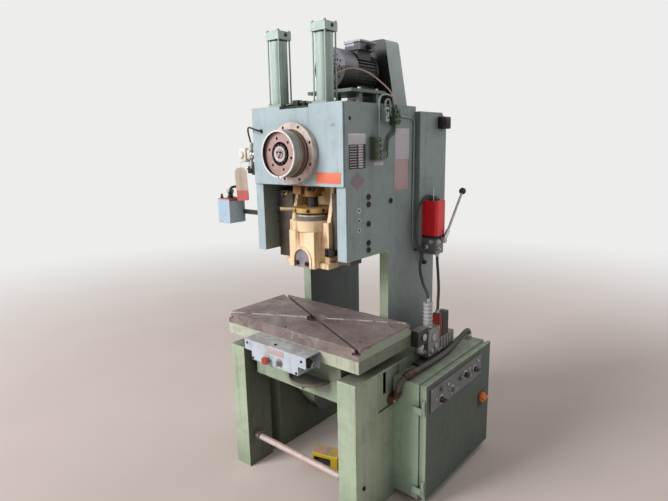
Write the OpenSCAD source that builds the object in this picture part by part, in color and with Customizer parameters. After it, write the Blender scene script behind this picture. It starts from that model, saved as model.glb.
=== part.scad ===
// Mechanical stamping press: an open-back C frame between two base frames, with
// a crankshaft that runs front to back, a ram between gibs, balance cylinders,
// a motor with a belt drive to a rear flywheel, and its controls.
// Millimetres, Z up. The front is towards -Y, and the operator's right is +X.
// The origin is on the floor at the centre of the four anchor holes.

/* [Frame] */
// Width over the two side plates of the C frame
frame_w = 536; // [500:2:560]
// Thickness of each side plate
plate_t = 48; // [36:1:54]
// Depth of the throat, from the ram's axis to the column
throat = 209; // [200:1:216]
// Depth of the column, front to back
column_d = 414; // [408:1:440]
// Distance from the ram's axis to the front of the head
head_reach = 94; // [92:1:100]
// Height of the head
head_h = 647; // [640:1:680]
// Clear height between the table top and the head
daylight = 318; // [306:1:330]
// Depth of the head's plates behind the column front
head_back = 226; // [220:1:240]
// Height of the frame's lower arm at the front
arm_h = 189; // [160:1:200]

/* [Table] */
// Height of the table's top above the floor
table_h = 800; // [780:1:820]
// Width of the table
table_w = 806; // [700:1:860]
// Depth of the table
table_d = 391; // [370:1:394]
// Thickness of the bare bolster plate
bolster_t = 50; // [44:1:60]
// Thickness of the painted table under it
table_t = 54; // [40:1:60]
// Radius of the hole in the middle of the bolster
bolster_bore_r = 48; // [30:1:55]
// Width of the narrow part of a T slot
slot_w = 18; // [12:1:22]

/* [Base] */
// Gap between each side plate and its base frame
base_gap = 25; // [16:1:40]
// Width of each base frame
base_side_w = 96; // [80:1:104]
// Depth of the base, front to back
base_d = 824; // [800:2:840]
// Drop from the table's underside to the top of the base frames
base_drop = 52; // [46:1:90]
// Depth of a front leg
leg_d = 156; // [120:1:170]
// Thickness of the foot plates
foot_t = 20; // [12:1:26]
// Radius of an anchor hole
anchor_r = 11; // [7:0.5:14]
// Height of the foot bar's axis
foot_bar_z = 157; // [120:1:200]
// Radius of the foot bar
foot_bar_r = 15; // [10:0.5:20]

/* [Drive] */
// Height of the crankshaft above the head's lower edge
crank_rise = 447; // [440:1:452]
// Radius of the crankshaft's journals
crank_r = 50; // [44:1:55]
// Radius of the eccentric
eccentric_r = 75; // [70:1:76]
// Set stroke of the ram
stroke = 30; // [20:1:32]
// Swing of the connecting rod to each side, in degrees
swing = 3; // [2:0.5:3]
// Radius of the flywheel
flywheel_r = 200; // [180:1:203]
// Width of the flywheel's rim
flywheel_t = 84; // [76:1:86]
// Radius of the motor pulley
pulley_r = 50; // [46:1:56]
// Radius of the stroke drum at the front
drum_r = 97.5; // [88:0.5:104]
// Length of the stroke drum
drum_l = 76; // [60:1:84]
// Radius of the crankshaft's front flange
flange_r = 129; // [116:1:134]
// Thickness of the flange in front of the cover
flange_t = 24; // [16:1:28]
// Radius of the holes for the flange's bolts
flange_bolt_r = 6.5; // [5:0.5:8]

/* [Ram] */
// Width of the ram between its guide ridges
ram_w = 236; // [230:2:244]
// Width over the ram's base flange
ram_base_w = 260; // [240:2:264]
// Length of the ram from its base to the shoulder under the cup
ram_body_h = 203; // [185:1:206]
// Radius of the hole for the die shank
shank_r = 20; // [12:0.5:25]
// Depth of the hole for the die shank
shank_l = 70; // [50:1:72]
// Radius of the adjusting screw
screw_r = 25; // [22:1:27]
// Radius of the lock ring
lock_ring_r = 90; // [80:1:92]

/* [Balance cylinders] */
// Distance between the two cylinders
balance_gap = 261; // [258:1:266]
// Side of the square cylinder heads
balance_head_w = 77; // [74:1:84]
// Outer radius of a barrel
barrel_r = 36; // [34:0.5:36.5]
// Height of the cylinders above the head
balance_h = 312; // [280:1:330]

/* [Motor] */
// Outer radius of the motor's fan cowl
motor_r = 90; // [84:1:92]
// Height of the motor's axis above its plate
motor_rise = 94; // [93:1:100]
// Length of the finned body
motor_l = 172; // [150:1:176]
// Height of the motor's plate above the head
motor_stand_h = 75; // [70:1:90]

/* [Cabinet] */
// Width of the cabinet, away from the base
cabinet_w = 167; // [140:1:190]
// Depth of the cabinet, front to back
cabinet_d = 650; // [620:1:680]
// Drop from the top of the base to the cabinet's top
cabinet_drop = 56; // [40:1:90]
// Height of the cabinet's underside above the floor
cab_z = 33; // [20:1:60]
// Sheet thickness of covers and cabinet
sheet_t = 3; // [2:0.5:4]

/* [Console] */
// Length of the two-hand console
console_l = 380; // [350:2:400]
// Depth of the console
console_d = 90; // [84:1:100]
// Height of the console
console_h = 90; // [80:1:94]
// Radius of a palm button
palm_r = 20; // [16:0.5:22]

/* [Housing and guard] */
// Depth of the flywheel housing behind the head
house_d = 251; // [244:1:280]
// Gap from a side plate to the housing's outer side
house_out = 25; // [16:1:40]
// Height of the belt guard above the head
guard_h = 321; // [300:1:340]
// Width of the belt guard at its top
guard_w = 188; // [176:2:200]

/* [Oil pump] */
// Width of the oil tank, away from the housing
pump_w = 80; // [70:1:90]
// Depth of the oil tank, front to back
pump_l = 89; // [84:1:110]
// Height of the oil tank
tank_h = 170; // [140:1:200]

/* [Foot switch] */
// Width of the foot switch's guard
foot_w = 140; // [136:2:150]
// Depth of the guard
foot_l = 88; // [84:1:100]
// Height of the guard at its front
foot_h = 70; // [68:1:76]

/* [Clearances] */
// Radial clearance of shafts in their bearings
shaft_gap = 0.05; // [0.02:0.01:0.1]
// Gap between sliding flat faces
slide_gap = 0.2; // [0.1:0.05:0.4]
// Gap between curved faces of parts that move on each other
ball_gap = 0.3; // [0.25:0.05:0.5]

/* [Hidden] */
$fn = 48;

// Colours
FRAME = "#8fa8a4";
BASE = "#b4c8a8";
HEAD = "#b4c6c9";
CREAM = "#ead9a6";
STEEL = "#9a9a98";
DARK = "#3a3b3c";
BRONZE = "#a98a4e";
RUST = "#8a7568";
BLUE = "#aecbe0";
RED = "#c33a30";
ORANGE = "#d9642a";
GREY = "#8d949c";

// Frame
side_x = frame_w / 2;
inner_x = side_x - plate_t;
ram_y = -throat;
head_y = ram_y - head_reach;
table_z = table_h - bolster_t - table_t;
head_z = table_h + daylight;
top_z = head_z + head_h;
top_t = 24;
arm_y = ram_y - 138;
arm_z = table_z - arm_h;
arm_deck_t = 36;
apron_t = 8;
plate_foot_z = 130;
rear_drop = 38;
rear_step_z = head_z - rear_drop;
lift_hole_r = 8;
lift_hole_in = 32;
lift_hole_rise = 582;
plug_r = 6;
plug_rises = [124, 165, 207];
notch_h = 14;
notch_d = 60;

// Table
table_front = ram_y - 196;
table_back = table_front + table_d;
slot_head_w = slot_w * 5 / 3;
slot_neck_h = 15;
slot_head_h = 12;
slot_angle = atan2(table_d, table_w);

// Base
base_in = side_x + base_gap;
base_x = base_in + base_side_w;
base_y = base_d / 2;
base_h = table_z - base_drop;
anchor_inset = 40;
leg_gap = 70;
rail_z = base_h - 185;
base_wall = 12;
pad_r = 62;
pad_y = 130;
pad_z = base_h - 99;
pocket_t = 6;
shelf_r = 104;

// Drive
crank_z = head_z + crank_rise;
crank_throw = stroke / 2;
cover_t = 9;
cover_y = head_y - cover_t;
cover_w = frame_w - 8;
cover_z = head_z + 311;
flange_bolt_n = 8;
flange_hub_r = flange_r * 2 / 3;
flange_hub_l = 36;
drum_y = cover_y - flange_t - 4;
drum_front = drum_y - drum_l;
web_w = 72;
bearing_t = 36;
bearing_y = head_back - bearing_t;
bearing_hub_l = 40;
wheel_y = head_back + 24;
crank_end = wheel_y + flywheel_t + 120;

// Connecting rod: the big end keeps this much room round the eccentric, so that
// the open pivot stays clear at every crank angle, stroke and swing
ball_r = 34;
ball_z = head_z + 175;
rod_l = crank_z + crank_throw - ball_z;
pivot_room = norm([rod_l * sin(swing), crank_throw + rod_l * (1 - cos(swing))]) + crank_throw + 1;
big_bore_r = eccentric_r + pivot_room;
big_end_r = big_bore_r + 16;
rod_foot_z = ball_z + 82;

// Ram
ram_base_z = head_z - 58;
ram_base_t = 25;
shoulder_z = ram_base_z + ram_body_h;
ram_front = ram_y - 31;
ram_wall = 18;
ram_back = ram_y + 118;
boss_w = 150;
boss_front = ram_y - 81;
boss_top = shoulder_z - 38;
shoulder_r = 92;
cheek_x = ram_w / 2;
cheek_t = 20;
ear_rise = 312;
ear_z = head_z + ear_rise;
ear_t = 18;
ram_top = ear_z + ear_t;
gib_h = ear_z - stroke - 7 - head_z;
guide_y = ram_y + 55;
guide_deep = 25;
guide_half = 30;
clamp_w = 90;
clamp_z = ram_base_z + 38;
clamp_gap = 1.5;
cup_r = 78;
cup_top = ball_z + 6;
cup_base_z = shoulder_z + 8;
spigot_r = 48;
spigot_z = ball_z - 42;
ring_z = ball_z + 12;
ring_t = 22;
ball_flat = ball_r * 0.7;
bar_r = 9;
bar_angle = 209;

// Balance cylinders
balance_x = balance_gap / 2;
notch_x = balance_x - balance_head_w / 2 - 7;
balance_y = head_y + 8 + balance_head_w / 2;
barrel_foot_t = 10;
balance_cap_t = 34;
barrel_wall = 6;
balance_rod_r = 9;
piston_t = 22;
piston_z = top_z + 135;
tie_r = 3.5;
tie_inset = 6;

// Flywheel housing and belt guard
house_x = side_x + house_out;
house_back = head_back + house_d;
house_z = rear_step_z + 10;
house_top = top_z - 23;
house_cut = 47;
guard_back = wheel_y + flywheel_t + 8;
guard_foot = 153;
guard_x = guard_w / 2;
guard_top = top_z + guard_h;
guard_round = 18;

// Motor
motor_plate_t = 14;
motor_plate_z = top_z + motor_stand_h - motor_plate_t;
motor_z = top_z + motor_stand_h + motor_rise;
motor_y = 20;
motor_plate_w = 260;
motor_plate_y = motor_y - 101;
motor_plate_l = 261;
cowl_l = 92;
motor_body_r = motor_r - 12;
terminal_z = motor_z + motor_r - 6;
terminal_h = 42;
terminal_l = 119;
terminal_w = 98;
terminal_x = -5;
terminal_y = motor_y + 17;
motor_end = motor_y + motor_l;
motor_shaft_r = 14;
fin_n = 36;
fin_h = 10;
fin_t = 2.8;
belt_n = 3;
belt_pitch = 22;
belt_w = 10.4;
belt_h = 10;
belt_seat = 3;
groove_w = 15;
groove_h = 13;

// Cabinet
cab_x = base_x;
cab_out = cab_x + cabinet_w;
cab_y = -137;
cab_top = base_h - cabinet_drop;
cabinet_h = cab_top - cab_z;
neck_in = 8;
neck_l = 20;
door_t = 16;
door_gap = 1;
door_x = cab_out - door_t;
door_skin = 2;
hinge_r = 7;
hinge_pin_r = 3;
hinge_l = 64;
hinge_x = cab_out - door_t / 2;
hinge_y = cab_y - hinge_r - 1;
hinge_heights = [cab_z + 33, cab_top - 135];
strip_y = cab_y + 31;
strip_l = 500;
strip_z = cab_top - 133;
strip_h = 105;
strip_t = 6;
knob_x = cab_out + strip_t;
knob_r = 15;
knob_shaft_r = 6;
button_r = 14;
plunger_r = 9;
lamp_places = [[cab_y + 119, cab_top - 53], [cab_y + 299, cab_top - 71]];
start_place = [cab_y + 225, cab_top - 98];
stop_place = [cab_y + 354, cab_top - 73];
mode_place = [cab_y + 118, cab_top - 103];
motor_place = [cab_y + 456, cab_top - 81];
switch_place = [cab_y + 561, cab_top - 274];

// Console
con_x = 8;
con_y = table_front;
con_front = con_y - console_d;
con_top = table_h - 55;
con_z = con_top - console_h;
hood_l = 46;
con_wall = 3;

// Oil pump
pump_x = house_x;
pump_y = 256;
pump_z = rear_step_z + 75;
lever_x = pump_x + pump_w + 10;
lever_y = pump_y + 59;
lever_z = pump_z - 25;
pump_body_h = 90;
hose_r = 7;
conduit_r = 13;
lever_reach = [180, 226];

// Foot switch
foot_x = -58;
foot_y = -202;
foot_turn = 15;
foot_drop = 2;
foot_post = 8;
foot_gap_w = 93;
foot_rim = 20;
pedal_y = foot_l - 34;
pedal_z = 20;
pedal_r = 4;

// Air valve unit on the cabinet
valve_x = cab_x + 4;
valve_w = 46;
valve_y = 80;
valve_z = cab_top;
valve_mid_x = valve_x + valve_w / 2;
body_l = 104;
manifold_l = 147;
manifold_h = 92;
body_h = 157;
foot_plate_t = 10;
solenoid_h = 115;
muffler_y = valve_y + 30;
ring_n = 13;
ring_pitch = 9;
coil_y = valve_y + body_l + 17;

// Fittings on the frame's sides
stack_y = -137;
stack_l = 51;
stack_n = 4;
stack_pitch = 24;
stack_rise = 413;
relay_y = -53;
relay_rise = 573;
relay_h = 58;
regulator_rise = 121;
regulator_h = 112;
switch_rise = 442;

function unit(v) = v / norm(v);
function flat(p) = [p[0], p[1]];
function turn_to(a, b) = (b - a + 540) % 360 - 180;

// One corner b of an outline, rounded to its own radius between a and c
function corner_arc(a, b, c, steps) =
    b[2] == 0 ? [flat(b)] :
    let (u = unit(flat(a) - flat(b)),
         v = unit(flat(c) - flat(b)),
         half = acos(u * v) / 2,
         o = flat(b) + unit(u + v) * b[2] / sin(half),
         s = flat(b) + u * b[2] / tan(half) - o,
         e = flat(b) + v * b[2] / tan(half) - o,
         a0 = atan2(s[1], s[0]),
         sweep = turn_to(a0, atan2(e[1], e[0])))
    [for (i = [0 : steps]) o + b[2] * [cos(a0 + sweep * i / steps), sin(a0 + sweep * i / steps)]];

// An outline of [x, y, radius] corners as plain points
function rounded(p, steps = 5) =
    [for (i = [0 : len(p) - 1])
        each corner_arc(p[(i + len(p) - 1) % len(p)], p[i], p[(i + 1) % len(p)], steps)];

// A Y-Z outline extruded along X from x0
module along_x(x0, t) {
    translate([x0, 0, 0])
        rotate([90, 0, 90])
            linear_extrude(t)
                children();
}

// An X-Z outline extruded along Y from y0
module along_y(y0, t) {
    translate([0, y0 + t, 0])
        rotate([90, 0, 0])
            linear_extrude(t)
                children();
}

// A round bar from y0 to y1
module bar_y(r, y0, y1) {
    translate([0, y0, 0])
        rotate([-90, 0, 0])
            cylinder(r = r, h = y1 - y0);
}

// A round bar from x0 to x1
module bar_x(r, x0, x1) {
    translate([x0, 0, 0])
        rotate([0, 90, 0])
            cylinder(r = r, h = x1 - x0);
}

// A box between two corners
module box(a, b) {
    translate(a)
        cube(b - a);
}

// The box's mirror image is drawn as well
module both_sides() {
    children();
    mirror([1, 0, 0])
        children();
}

// Frame and table

module side_outline() {
    polygon(rounded([
        [arm_y, arm_z, 18], [arm_y, table_z, 0], [0, table_z, 0], [0, head_z, 26],
        [head_y, head_z, 0], [head_y, top_z, 0], [head_back, top_z, 0],
        [head_back, rear_step_z, 0], [column_d, rear_step_z, 20],
        [column_d, plate_foot_z, 40], [60, plate_foot_z, 40], [-70, 300, 60]
    ]));
}

module frame_side(x0) {
    color(FRAME)
        difference() {
            along_x(x0, plate_t)
                side_outline();
            translate([0, head_y + lift_hole_in, head_z + lift_hole_rise])
                bar_x(lift_hole_r, x0 - 1, x0 + plate_t + 1);
            for (rise = plug_rises)
                translate([0, ram_y - 8, head_z + rise])
                    bar_x(plug_r, x0 - 1, x0 + plate_t + 1);
        }
}

module head_top_plate() {
    color(FRAME)
        difference() {
            box([-inner_x, head_y, top_z - top_t], [inner_x, head_back, top_z]);
            for (s = [-1, 1])
                translate([s * balance_x, balance_y, top_z - top_t - 1])
                    cylinder(r = balance_rod_r + 3, h = top_t + 2);
            box([-notch_x, head_y - 1, top_z - top_t - 1], [notch_x, head_y + notch_d, top_z + 1]);
        }
}

module front_cover() {
    color(HEAD)
        difference() {
            along_y(cover_y, cover_t)
                polygon(rounded([
                    [-cover_w / 2, cover_z, 6], [cover_w / 2, cover_z, 6],
                    [cover_w / 2, top_z, 6], [-cover_w / 2, top_z, 6]
                ]));
            box([-notch_x, cover_y - 1, top_z - notch_h], [notch_x, head_y + 1, top_z + 1]);
            translate([0, 0, crank_z])
                bar_y(flange_hub_r + 1, cover_y - 1, head_y + 1);
        }
}

module crank_flange() {
    color(STEEL)
        difference() {
            translate([0, 0, crank_z])
                union() {
                    bar_y(flange_r, cover_y - flange_t, cover_y);
                    bar_y(flange_hub_r, cover_y - 1, head_y + flange_hub_l);
                }
            translate([0, 0, crank_z])
                bar_y(crank_r + shaft_gap, cover_y - flange_t - 1, head_y + flange_hub_l + 1);
            for (i = [0 : flange_bolt_n - 1])
                translate([0, 0, crank_z])
                    rotate([0, (i + 0.5) * 360 / flange_bolt_n, 0])
                        translate([flange_r - 2 * flange_bolt_r, 0, 0])
                            bar_y(flange_bolt_r, cover_y - flange_t - 1, cover_y - flange_t + 12);
        }
}

module rear_bearing_plate() {
    color(FRAME)
        difference() {
            union() {
                box([-inner_x, bearing_y, head_z + 260], [inner_x, head_back, top_z - top_t]);
                translate([0, 0, crank_z])
                    bar_y(crank_r + 38, bearing_y - bearing_hub_l, head_back - 1);
            }
            translate([0, 0, crank_z])
                bar_y(crank_r + shaft_gap, bearing_y - bearing_hub_l - 1, head_back + 1);
        }
}

module lower_arm() {
    color(BASE)
        difference() {
            union() {
                box([-inner_x, arm_y, table_z - arm_deck_t], [inner_x, 0, table_z]);
                box([-side_x, arm_y - apron_t, arm_z - 4], [side_x, arm_y, table_z]);
                for (s = [-1, 1])
                    box([s * 120 - 8, arm_y, arm_z + 20], [s * 120 + 8, -20, table_z - arm_deck_t + 1]);
            }
            translate([0, ram_y, table_z - arm_deck_t - 1])
                cylinder(r = bolster_bore_r + 32, h = arm_deck_t + 2);
        }
}

module table_casting() {
    color(BASE)
        difference() {
            box([-table_w / 2, table_front, table_z], [table_w / 2, table_back, table_z + table_t]);
            translate([0, ram_y, table_z - 1])
                cylinder(r = bolster_bore_r + 12, h = table_t + 2);
        }
}

// A T slot through the middle of the bolster, at an angle to X
module t_slot(angle) {
    reach = norm([table_w, table_d]) + 20;
    translate([0, ram_y, table_h])
        rotate(angle) {
            translate([-reach / 2, -slot_w / 2, -slot_neck_h])
                cube([reach, slot_w, slot_neck_h + 1]);
            translate([-reach / 2, -slot_head_w / 2, -slot_neck_h - slot_head_h])
                cube([reach, slot_head_w, slot_head_h]);
        }
}

module bolster() {
    color(RUST)
        difference() {
            box([-table_w / 2, table_front, table_h - bolster_t], [table_w / 2, table_back, table_h]);
            t_slot(slot_angle);
            t_slot(-slot_angle);
            translate([0, ram_y, table_h - bolster_t - 1])
                cylinder(r = bolster_bore_r, h = bolster_t + 2);
            for (x = [-1, 1], y = [-1, 1])
                translate([x * table_w * 0.434, ram_y + y * table_d * 0.294, table_h - 24])
                    cylinder(r = 7, h = 25);
            translate([-23, table_front + 20, table_h - 24])
                cylinder(r = 7, h = 25);
        }
}

// Base

module base_outline() {
    polygon(rounded([
        [-base_y, 0, 0], [-base_y, base_h, 6], [base_y, base_h, 6], [base_y, 0, 0]
    ]));
}

// One base frame on the right side, from base_in to base_x
module base_frame() {
    leg_back = -base_y + leg_d;
    panel_y = leg_back + leg_gap;
    difference() {
        along_x(base_in, base_side_w)
            base_outline();
        box([base_in - 1, leg_back, -1], [base_x - base_wall, panel_y, rail_z]);
        box([base_in + base_wall, panel_y + base_wall, foot_t],
            [base_x - base_wall, base_y - base_wall, base_h - base_wall]);
        box([base_in + base_wall, leg_back - 1, rail_z - 1],
            [base_x - base_wall, panel_y + base_wall + 1, base_h - base_wall]);
        box([base_x - pocket_t, leg_back + 3, rail_z - 1], [base_x + 1, leg_back + 166, base_h - base_wall]);
        box([base_x - base_wall - 1, leg_back + 48, rail_z + 67], [base_x + 1, leg_back + 74, base_h - 16]);
        box([base_in + base_wall, -base_y + base_wall, foot_t],
            [base_x - base_wall, leg_back + 1, base_h - base_wall]);
        for (y = [-1, 1])
            translate([base_x - base_side_w / 2, y * (base_y - anchor_inset), -1])
                cylinder(r = anchor_r, h = foot_t + 2);
    }
    translate([0, pad_y, pad_z])
        bar_x(pad_r, side_x, base_in + 1);
    translate([0, ram_y - 30, pad_z])
        bar_x(pad_r * 0.6, side_x, base_in + 1);
}

module base_right() {
    color(BASE)
        base_frame();
}

module base_left() {
    color(BASE)
        mirror([1, 0, 0])
            base_frame();
}

module foot_bar() {
    color("#d8c4c0")
        translate([0, -base_y + 53, foot_bar_z])
            difference() {
                bar_x(foot_bar_r, -base_in, base_in);
                bar_x(foot_bar_r - 4, -base_in - 1, base_in + 1);
            }
}

module round_shelf() {
    color(BASE)
        translate([100, arm_y - apron_t, arm_z + 76])
            difference() {
                cylinder(r = shelf_r, h = 14);
                translate([0, 0, 9])
                    cylinder(r = shelf_r - 8, h = 6);
                translate([-shelf_r - 1, 0, -1])
                    cube([2 * shelf_r + 2, shelf_r + 1, 16]);
            }
}

// Ram and its guides

// Plan of one guide ridge of the ram, wider by g on each face
module ridge_plan(g) {
    polygon([
        [cheek_x - 1, guide_y - guide_half - g * 1.3],
        [cheek_x + guide_deep + g * 1.3, guide_y - 6],
        [cheek_x + guide_deep + g * 1.3, guide_y + 6],
        [cheek_x - 1, guide_y + guide_half + g * 1.3]
    ]);
}

module gib(side) {
    color(RUST)
        mirror([side < 0 ? 1 : 0, 0, 0])
            difference() {
                union() {
                    box([cheek_x + slide_gap, guide_y - 60, head_z],
                        [inner_x, guide_y + 70, head_z + gib_h]);
                    box([inner_x - 70, guide_y - 60, head_z - 38], [inner_x - 4, guide_y + 20, head_z + 1]);
                }
                translate([0, 0, head_z - 1])
                    linear_extrude(gib_h + 2)
                        ridge_plan(slide_gap);
            }
}

module ram_cheek_outline() {
    polygon([
        [ram_back, shoulder_z - 1], [ram_y - 18, shoulder_z - 1], [ram_y + 8, ear_z - 60],
        [ram_y + 8, ram_top], [ram_back, ram_top]
    ]);
}

module ram_half_solid() {
    along_x(cheek_x - cheek_t, cheek_t)
        ram_cheek_outline();
    translate([0, 0, ram_base_z + ram_base_t + 6])
        linear_extrude(ram_top - ram_base_z - ram_base_t - 6)
            ridge_plan(0);
    box([cheek_x - cheek_t, ram_y + 7, ear_z], [balance_x + 16, ram_y + 38, ram_top]);
    box([balance_x - 16, balance_y - 16, ear_z], [balance_x + 16, ram_y + 38, ram_top]);
}

module ram() {
    color(CREAM)
        difference() {
            union() {
                box([-cheek_x, ram_front, ram_base_z], [cheek_x, ram_back, shoulder_z]);
                box([-ram_base_w / 2, ram_y - 51, ram_base_z],
                    [ram_base_w / 2, ram_y + 14, ram_base_z + ram_base_t]);
                along_y(boss_front, ram_front - boss_front + 1)
                    polygon([
                        [-boss_w / 2, ram_base_z], [boss_w / 2, ram_base_z],
                        [boss_w / 2, boss_top], [-boss_w / 2, boss_top]
                    ]);
                along_y(boss_front - 4, 5)
                    clamp_arch(clamp_w / 2 + 13, 0);
                translate([0, ram_y, boss_top - 1])
                    cylinder(r = shoulder_r, h = cup_base_z - boss_top + 1);
                both_sides()
                    ram_half_solid();
                box([-cheek_x + 1, ram_back - ram_wall, shoulder_z - 1], [cheek_x - 1, ram_back, ram_top]);
            }
            along_y(boss_front - 5, ram_y - boss_front + 5)
                clamp_arch(clamp_w / 2 + 0.5, 1);
            translate([0, ram_y, ram_base_z - 1])
                rotate(90)
                    cylinder(r = shank_r, h = shank_l + 1);
            translate([0, ram_y, spigot_z])
                cylinder(r = spigot_r, h = cup_base_z - spigot_z + 1);
            for (s = [-1, 1])
                translate([s * 32, 0, ram_base_z + 20])
                    bar_y(6, ram_y - 1, ram_y + 28);
            for (s = [-1, 1])
                translate([s * balance_x, balance_y, ear_z - 1])
                    cylinder(r = balance_rod_r - 2, h = ear_t + 2);
        }
}

// Arch-topped outline of the shank clamp, from below the ram's face by drop
module clamp_arch(r, drop) {
    polygon(concat(
        [[-r, ram_base_z - drop], [r, ram_base_z - drop]],
        [for (a = [0 : 10 : 180]) [r * cos(a), clamp_z + r * sin(a)]]
    ));
}

module shank_clamp() {
    color(GREY)
        difference() {
            along_y(boss_front + 3, ram_y - clamp_gap - boss_front - 3)
                clamp_arch(clamp_w / 2, 0);
            translate([0, ram_y, ram_base_z - 1])
                rotate(90)
                    cylinder(r = shank_r, h = shank_l + 1);
            for (s = [-1, 1])
                translate([s * 32, 0, ram_base_z + 20])
                    bar_y(6, boss_front, ram_y);
        }
}

module clamp_bolts() {
    color(DARK)
        for (s = [-1, 1])
            translate([s * 32, 0, ram_base_z + 20]) {
                bar_y(5.7, boss_front + 2, ram_y + 25);
                rotate([90, 0, 0])
                    translate([0, 0, -boss_front - 3])
                        cylinder(r = 11, h = 11, $fn = 6);
            }
}

module ball_cup() {
    color(STEEL)
        difference() {
            translate([0, ram_y, 0]) {
                translate([0, 0, cup_base_z])
                    cylinder(r = cup_r, h = cup_top - cup_base_z);
                translate([0, 0, spigot_z])
                    cylinder(r = spigot_r, h = cup_base_z - spigot_z + 1);
            }
            translate([0, ram_y, ball_z])
                sphere(r = ball_r + ball_gap);
            translate([0, ram_y, ball_z])
                cylinder(r = ball_r + ball_gap, h = ball_r);
        }
}

// Connecting rod, screw and lock ring

module adjusting_screw() {
    color(DARK)
        translate([0, ram_y, ball_z]) {
            difference() {
                sphere(r = ball_r);
                translate([-ball_r, -ball_r, ball_flat])
                    cube([2 * ball_r, 2 * ball_r, ball_r]);
            }
            translate([0, 0, ball_r * 0.5])
                cylinder(r = screw_r, h = rod_foot_z - ball_z + 60 - ball_r * 0.5);
        }
}

module lock_ring() {
    color(BRONZE)
        difference() {
            translate([0, ram_y, ring_z])
                cylinder(r = lock_ring_r, h = ring_t);
            translate([0, ram_y, ring_z - 1])
                cylinder(r = screw_r + shaft_gap, h = ring_t + 2);
            translate([0, ram_y, ring_z - 1])
                cylinder(r = ball_r + 4, h = ball_z + ball_flat - ring_z + 1.5);
            for (a = [0 : 45 : 315])
                translate([0, ram_y, ring_z + ring_t / 2])
                    rotate(a + bar_angle)
                        bar_x(bar_r, lock_ring_r - 24, lock_ring_r + 1);
        }
}

module tommy_bar() {
    color(STEEL)
        translate([0, ram_y, ring_z + ring_t / 2])
            rotate(bar_angle)
                bar_x(bar_r - shaft_gap, lock_ring_r - 22, lock_ring_r + 62);
}

module connecting_rod() {
    rod_w = web_w - 12;
    color("#a08a72")
        difference() {
            union() {
                translate([0, ram_y, crank_z + crank_throw])
                    bar_y(big_end_r, -rod_w / 2, rod_w / 2);
                translate([0, ram_y, rod_foot_z])
                    cylinder(r = screw_r + 18, h = crank_z + crank_throw - big_bore_r - rod_foot_z);
                along_y(ram_y - rod_w / 2 + 4, rod_w - 8)
                    polygon([
                        [-50, rod_foot_z + 20], [50, rod_foot_z + 20],
                        [58, crank_z - big_bore_r + 14], [-58, crank_z - big_bore_r + 14]
                    ]);
                box([-64, ram_y - 58, rod_foot_z + 12], [-16, ram_y - 10, rod_foot_z + 52]);
            }
            translate([0, ram_y, crank_z + crank_throw])
                bar_y(big_bore_r, -rod_w / 2 - 1, rod_w / 2 + 1);
            translate([0, ram_y, rod_foot_z - 1])
                cylinder(r = screw_r + shaft_gap, h = 62);
        }
}

// Crankshaft

module crankshaft() {
    color(STEEL)
        translate([0, 0, crank_z]) {
            bar_y(crank_r, drum_y - 4, crank_end);
            translate([0, 0, crank_throw])
                bar_y(eccentric_r, ram_y - web_w / 2 + 8, ram_y + web_w / 2 - 8);
            bar_y(crank_r - 18, drum_front + 12, drum_y);
            difference() {
                bar_y(crank_r + 70, wheel_y + flywheel_t + 14, wheel_y + flywheel_t + 60);
                for (a = [0 : 60 : 300])
                    rotate([0, a, 0])
                        translate([crank_r + 44, 0, 0])
                            bar_y(9, wheel_y + flywheel_t, wheel_y + flywheel_t + 70);
            }
        }
}

module stroke_drum() {
    color("#e4d6d0")
        translate([0, 0, crank_z])
            difference() {
                bar_y(drum_r, drum_front, drum_y);
                bar_y(drum_r * 0.92, drum_front - 1, drum_front + 16);
                bar_y(drum_r * 0.5, drum_front + 15, drum_front + 34);
                bar_y(crank_r - 18 + shaft_gap, drum_front, drum_y + 1);
                bar_y(crank_r + shaft_gap, drum_y - 4, drum_y + 1);
                box([-3, drum_front - 1, -drum_r - 1], [3, drum_front + 7, -drum_r * 0.9]);
                for (a = [15 : 60 : 315])
                    rotate([0, a, 0])
                        translate([drum_r * 0.67, 0, 0])
                            bar_y(6, drum_front + 15, drum_front + 24);
            }
}

module crank_nut() {
    color(STEEL)
        translate([0, 0, crank_z])
            difference() {
                bar_y(crank_r - 8, drum_front + 14, drum_front + 34);
                bar_y(crank_r - 18 + shaft_gap, drum_front + 13, drum_front + 35);
                for (a = [0 : 30 : 330])
                    rotate([0, a, 0])
                        box([crank_r - 14, drum_front + 13, -3], [crank_r - 6, drum_front + 22, 3]);
            }
}

// Flywheel, pulley and belts

function belt_place(i) = wheel_y + flywheel_t / 2 + (i - (belt_n - 1) / 2) * belt_pitch;

// Grooves for the belts, cut into a rim of radius r
module rim_grooves(r) {
    for (i = [0 : belt_n - 1])
        translate([0, belt_place(i), 0])
            rotate([-90, 0, 0])
                rotate_extrude()
                    polygon([
                        [r - groove_h, -groove_w / 3], [r + 1, -groove_w / 2],
                        [r + 1, groove_w / 2], [r - groove_h, groove_w / 3]
                    ]);
}

module flywheel() {
    color(DARK)
        translate([0, 0, crank_z])
            difference() {
                bar_y(flywheel_r, wheel_y, wheel_y + flywheel_t);
                rim_grooves(flywheel_r);
                bar_y(crank_r + shaft_gap, wheel_y - 1, wheel_y + flywheel_t + 1);
                difference() {
                    bar_y(flywheel_r - 50, wheel_y - 1, wheel_y + 26);
                    bar_y(crank_r + 32, wheel_y - 2, wheel_y + 27);
                }
            }
}

module motor_pulley() {
    color(GREY)
        translate([0, 0, motor_z]) {
            difference() {
                bar_y(pulley_r, wheel_y, wheel_y + flywheel_t);
                rim_grooves(pulley_r);
            }
            bar_y(motor_shaft_r, motor_y - 60, wheel_y + 1);
        }
}

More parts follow.
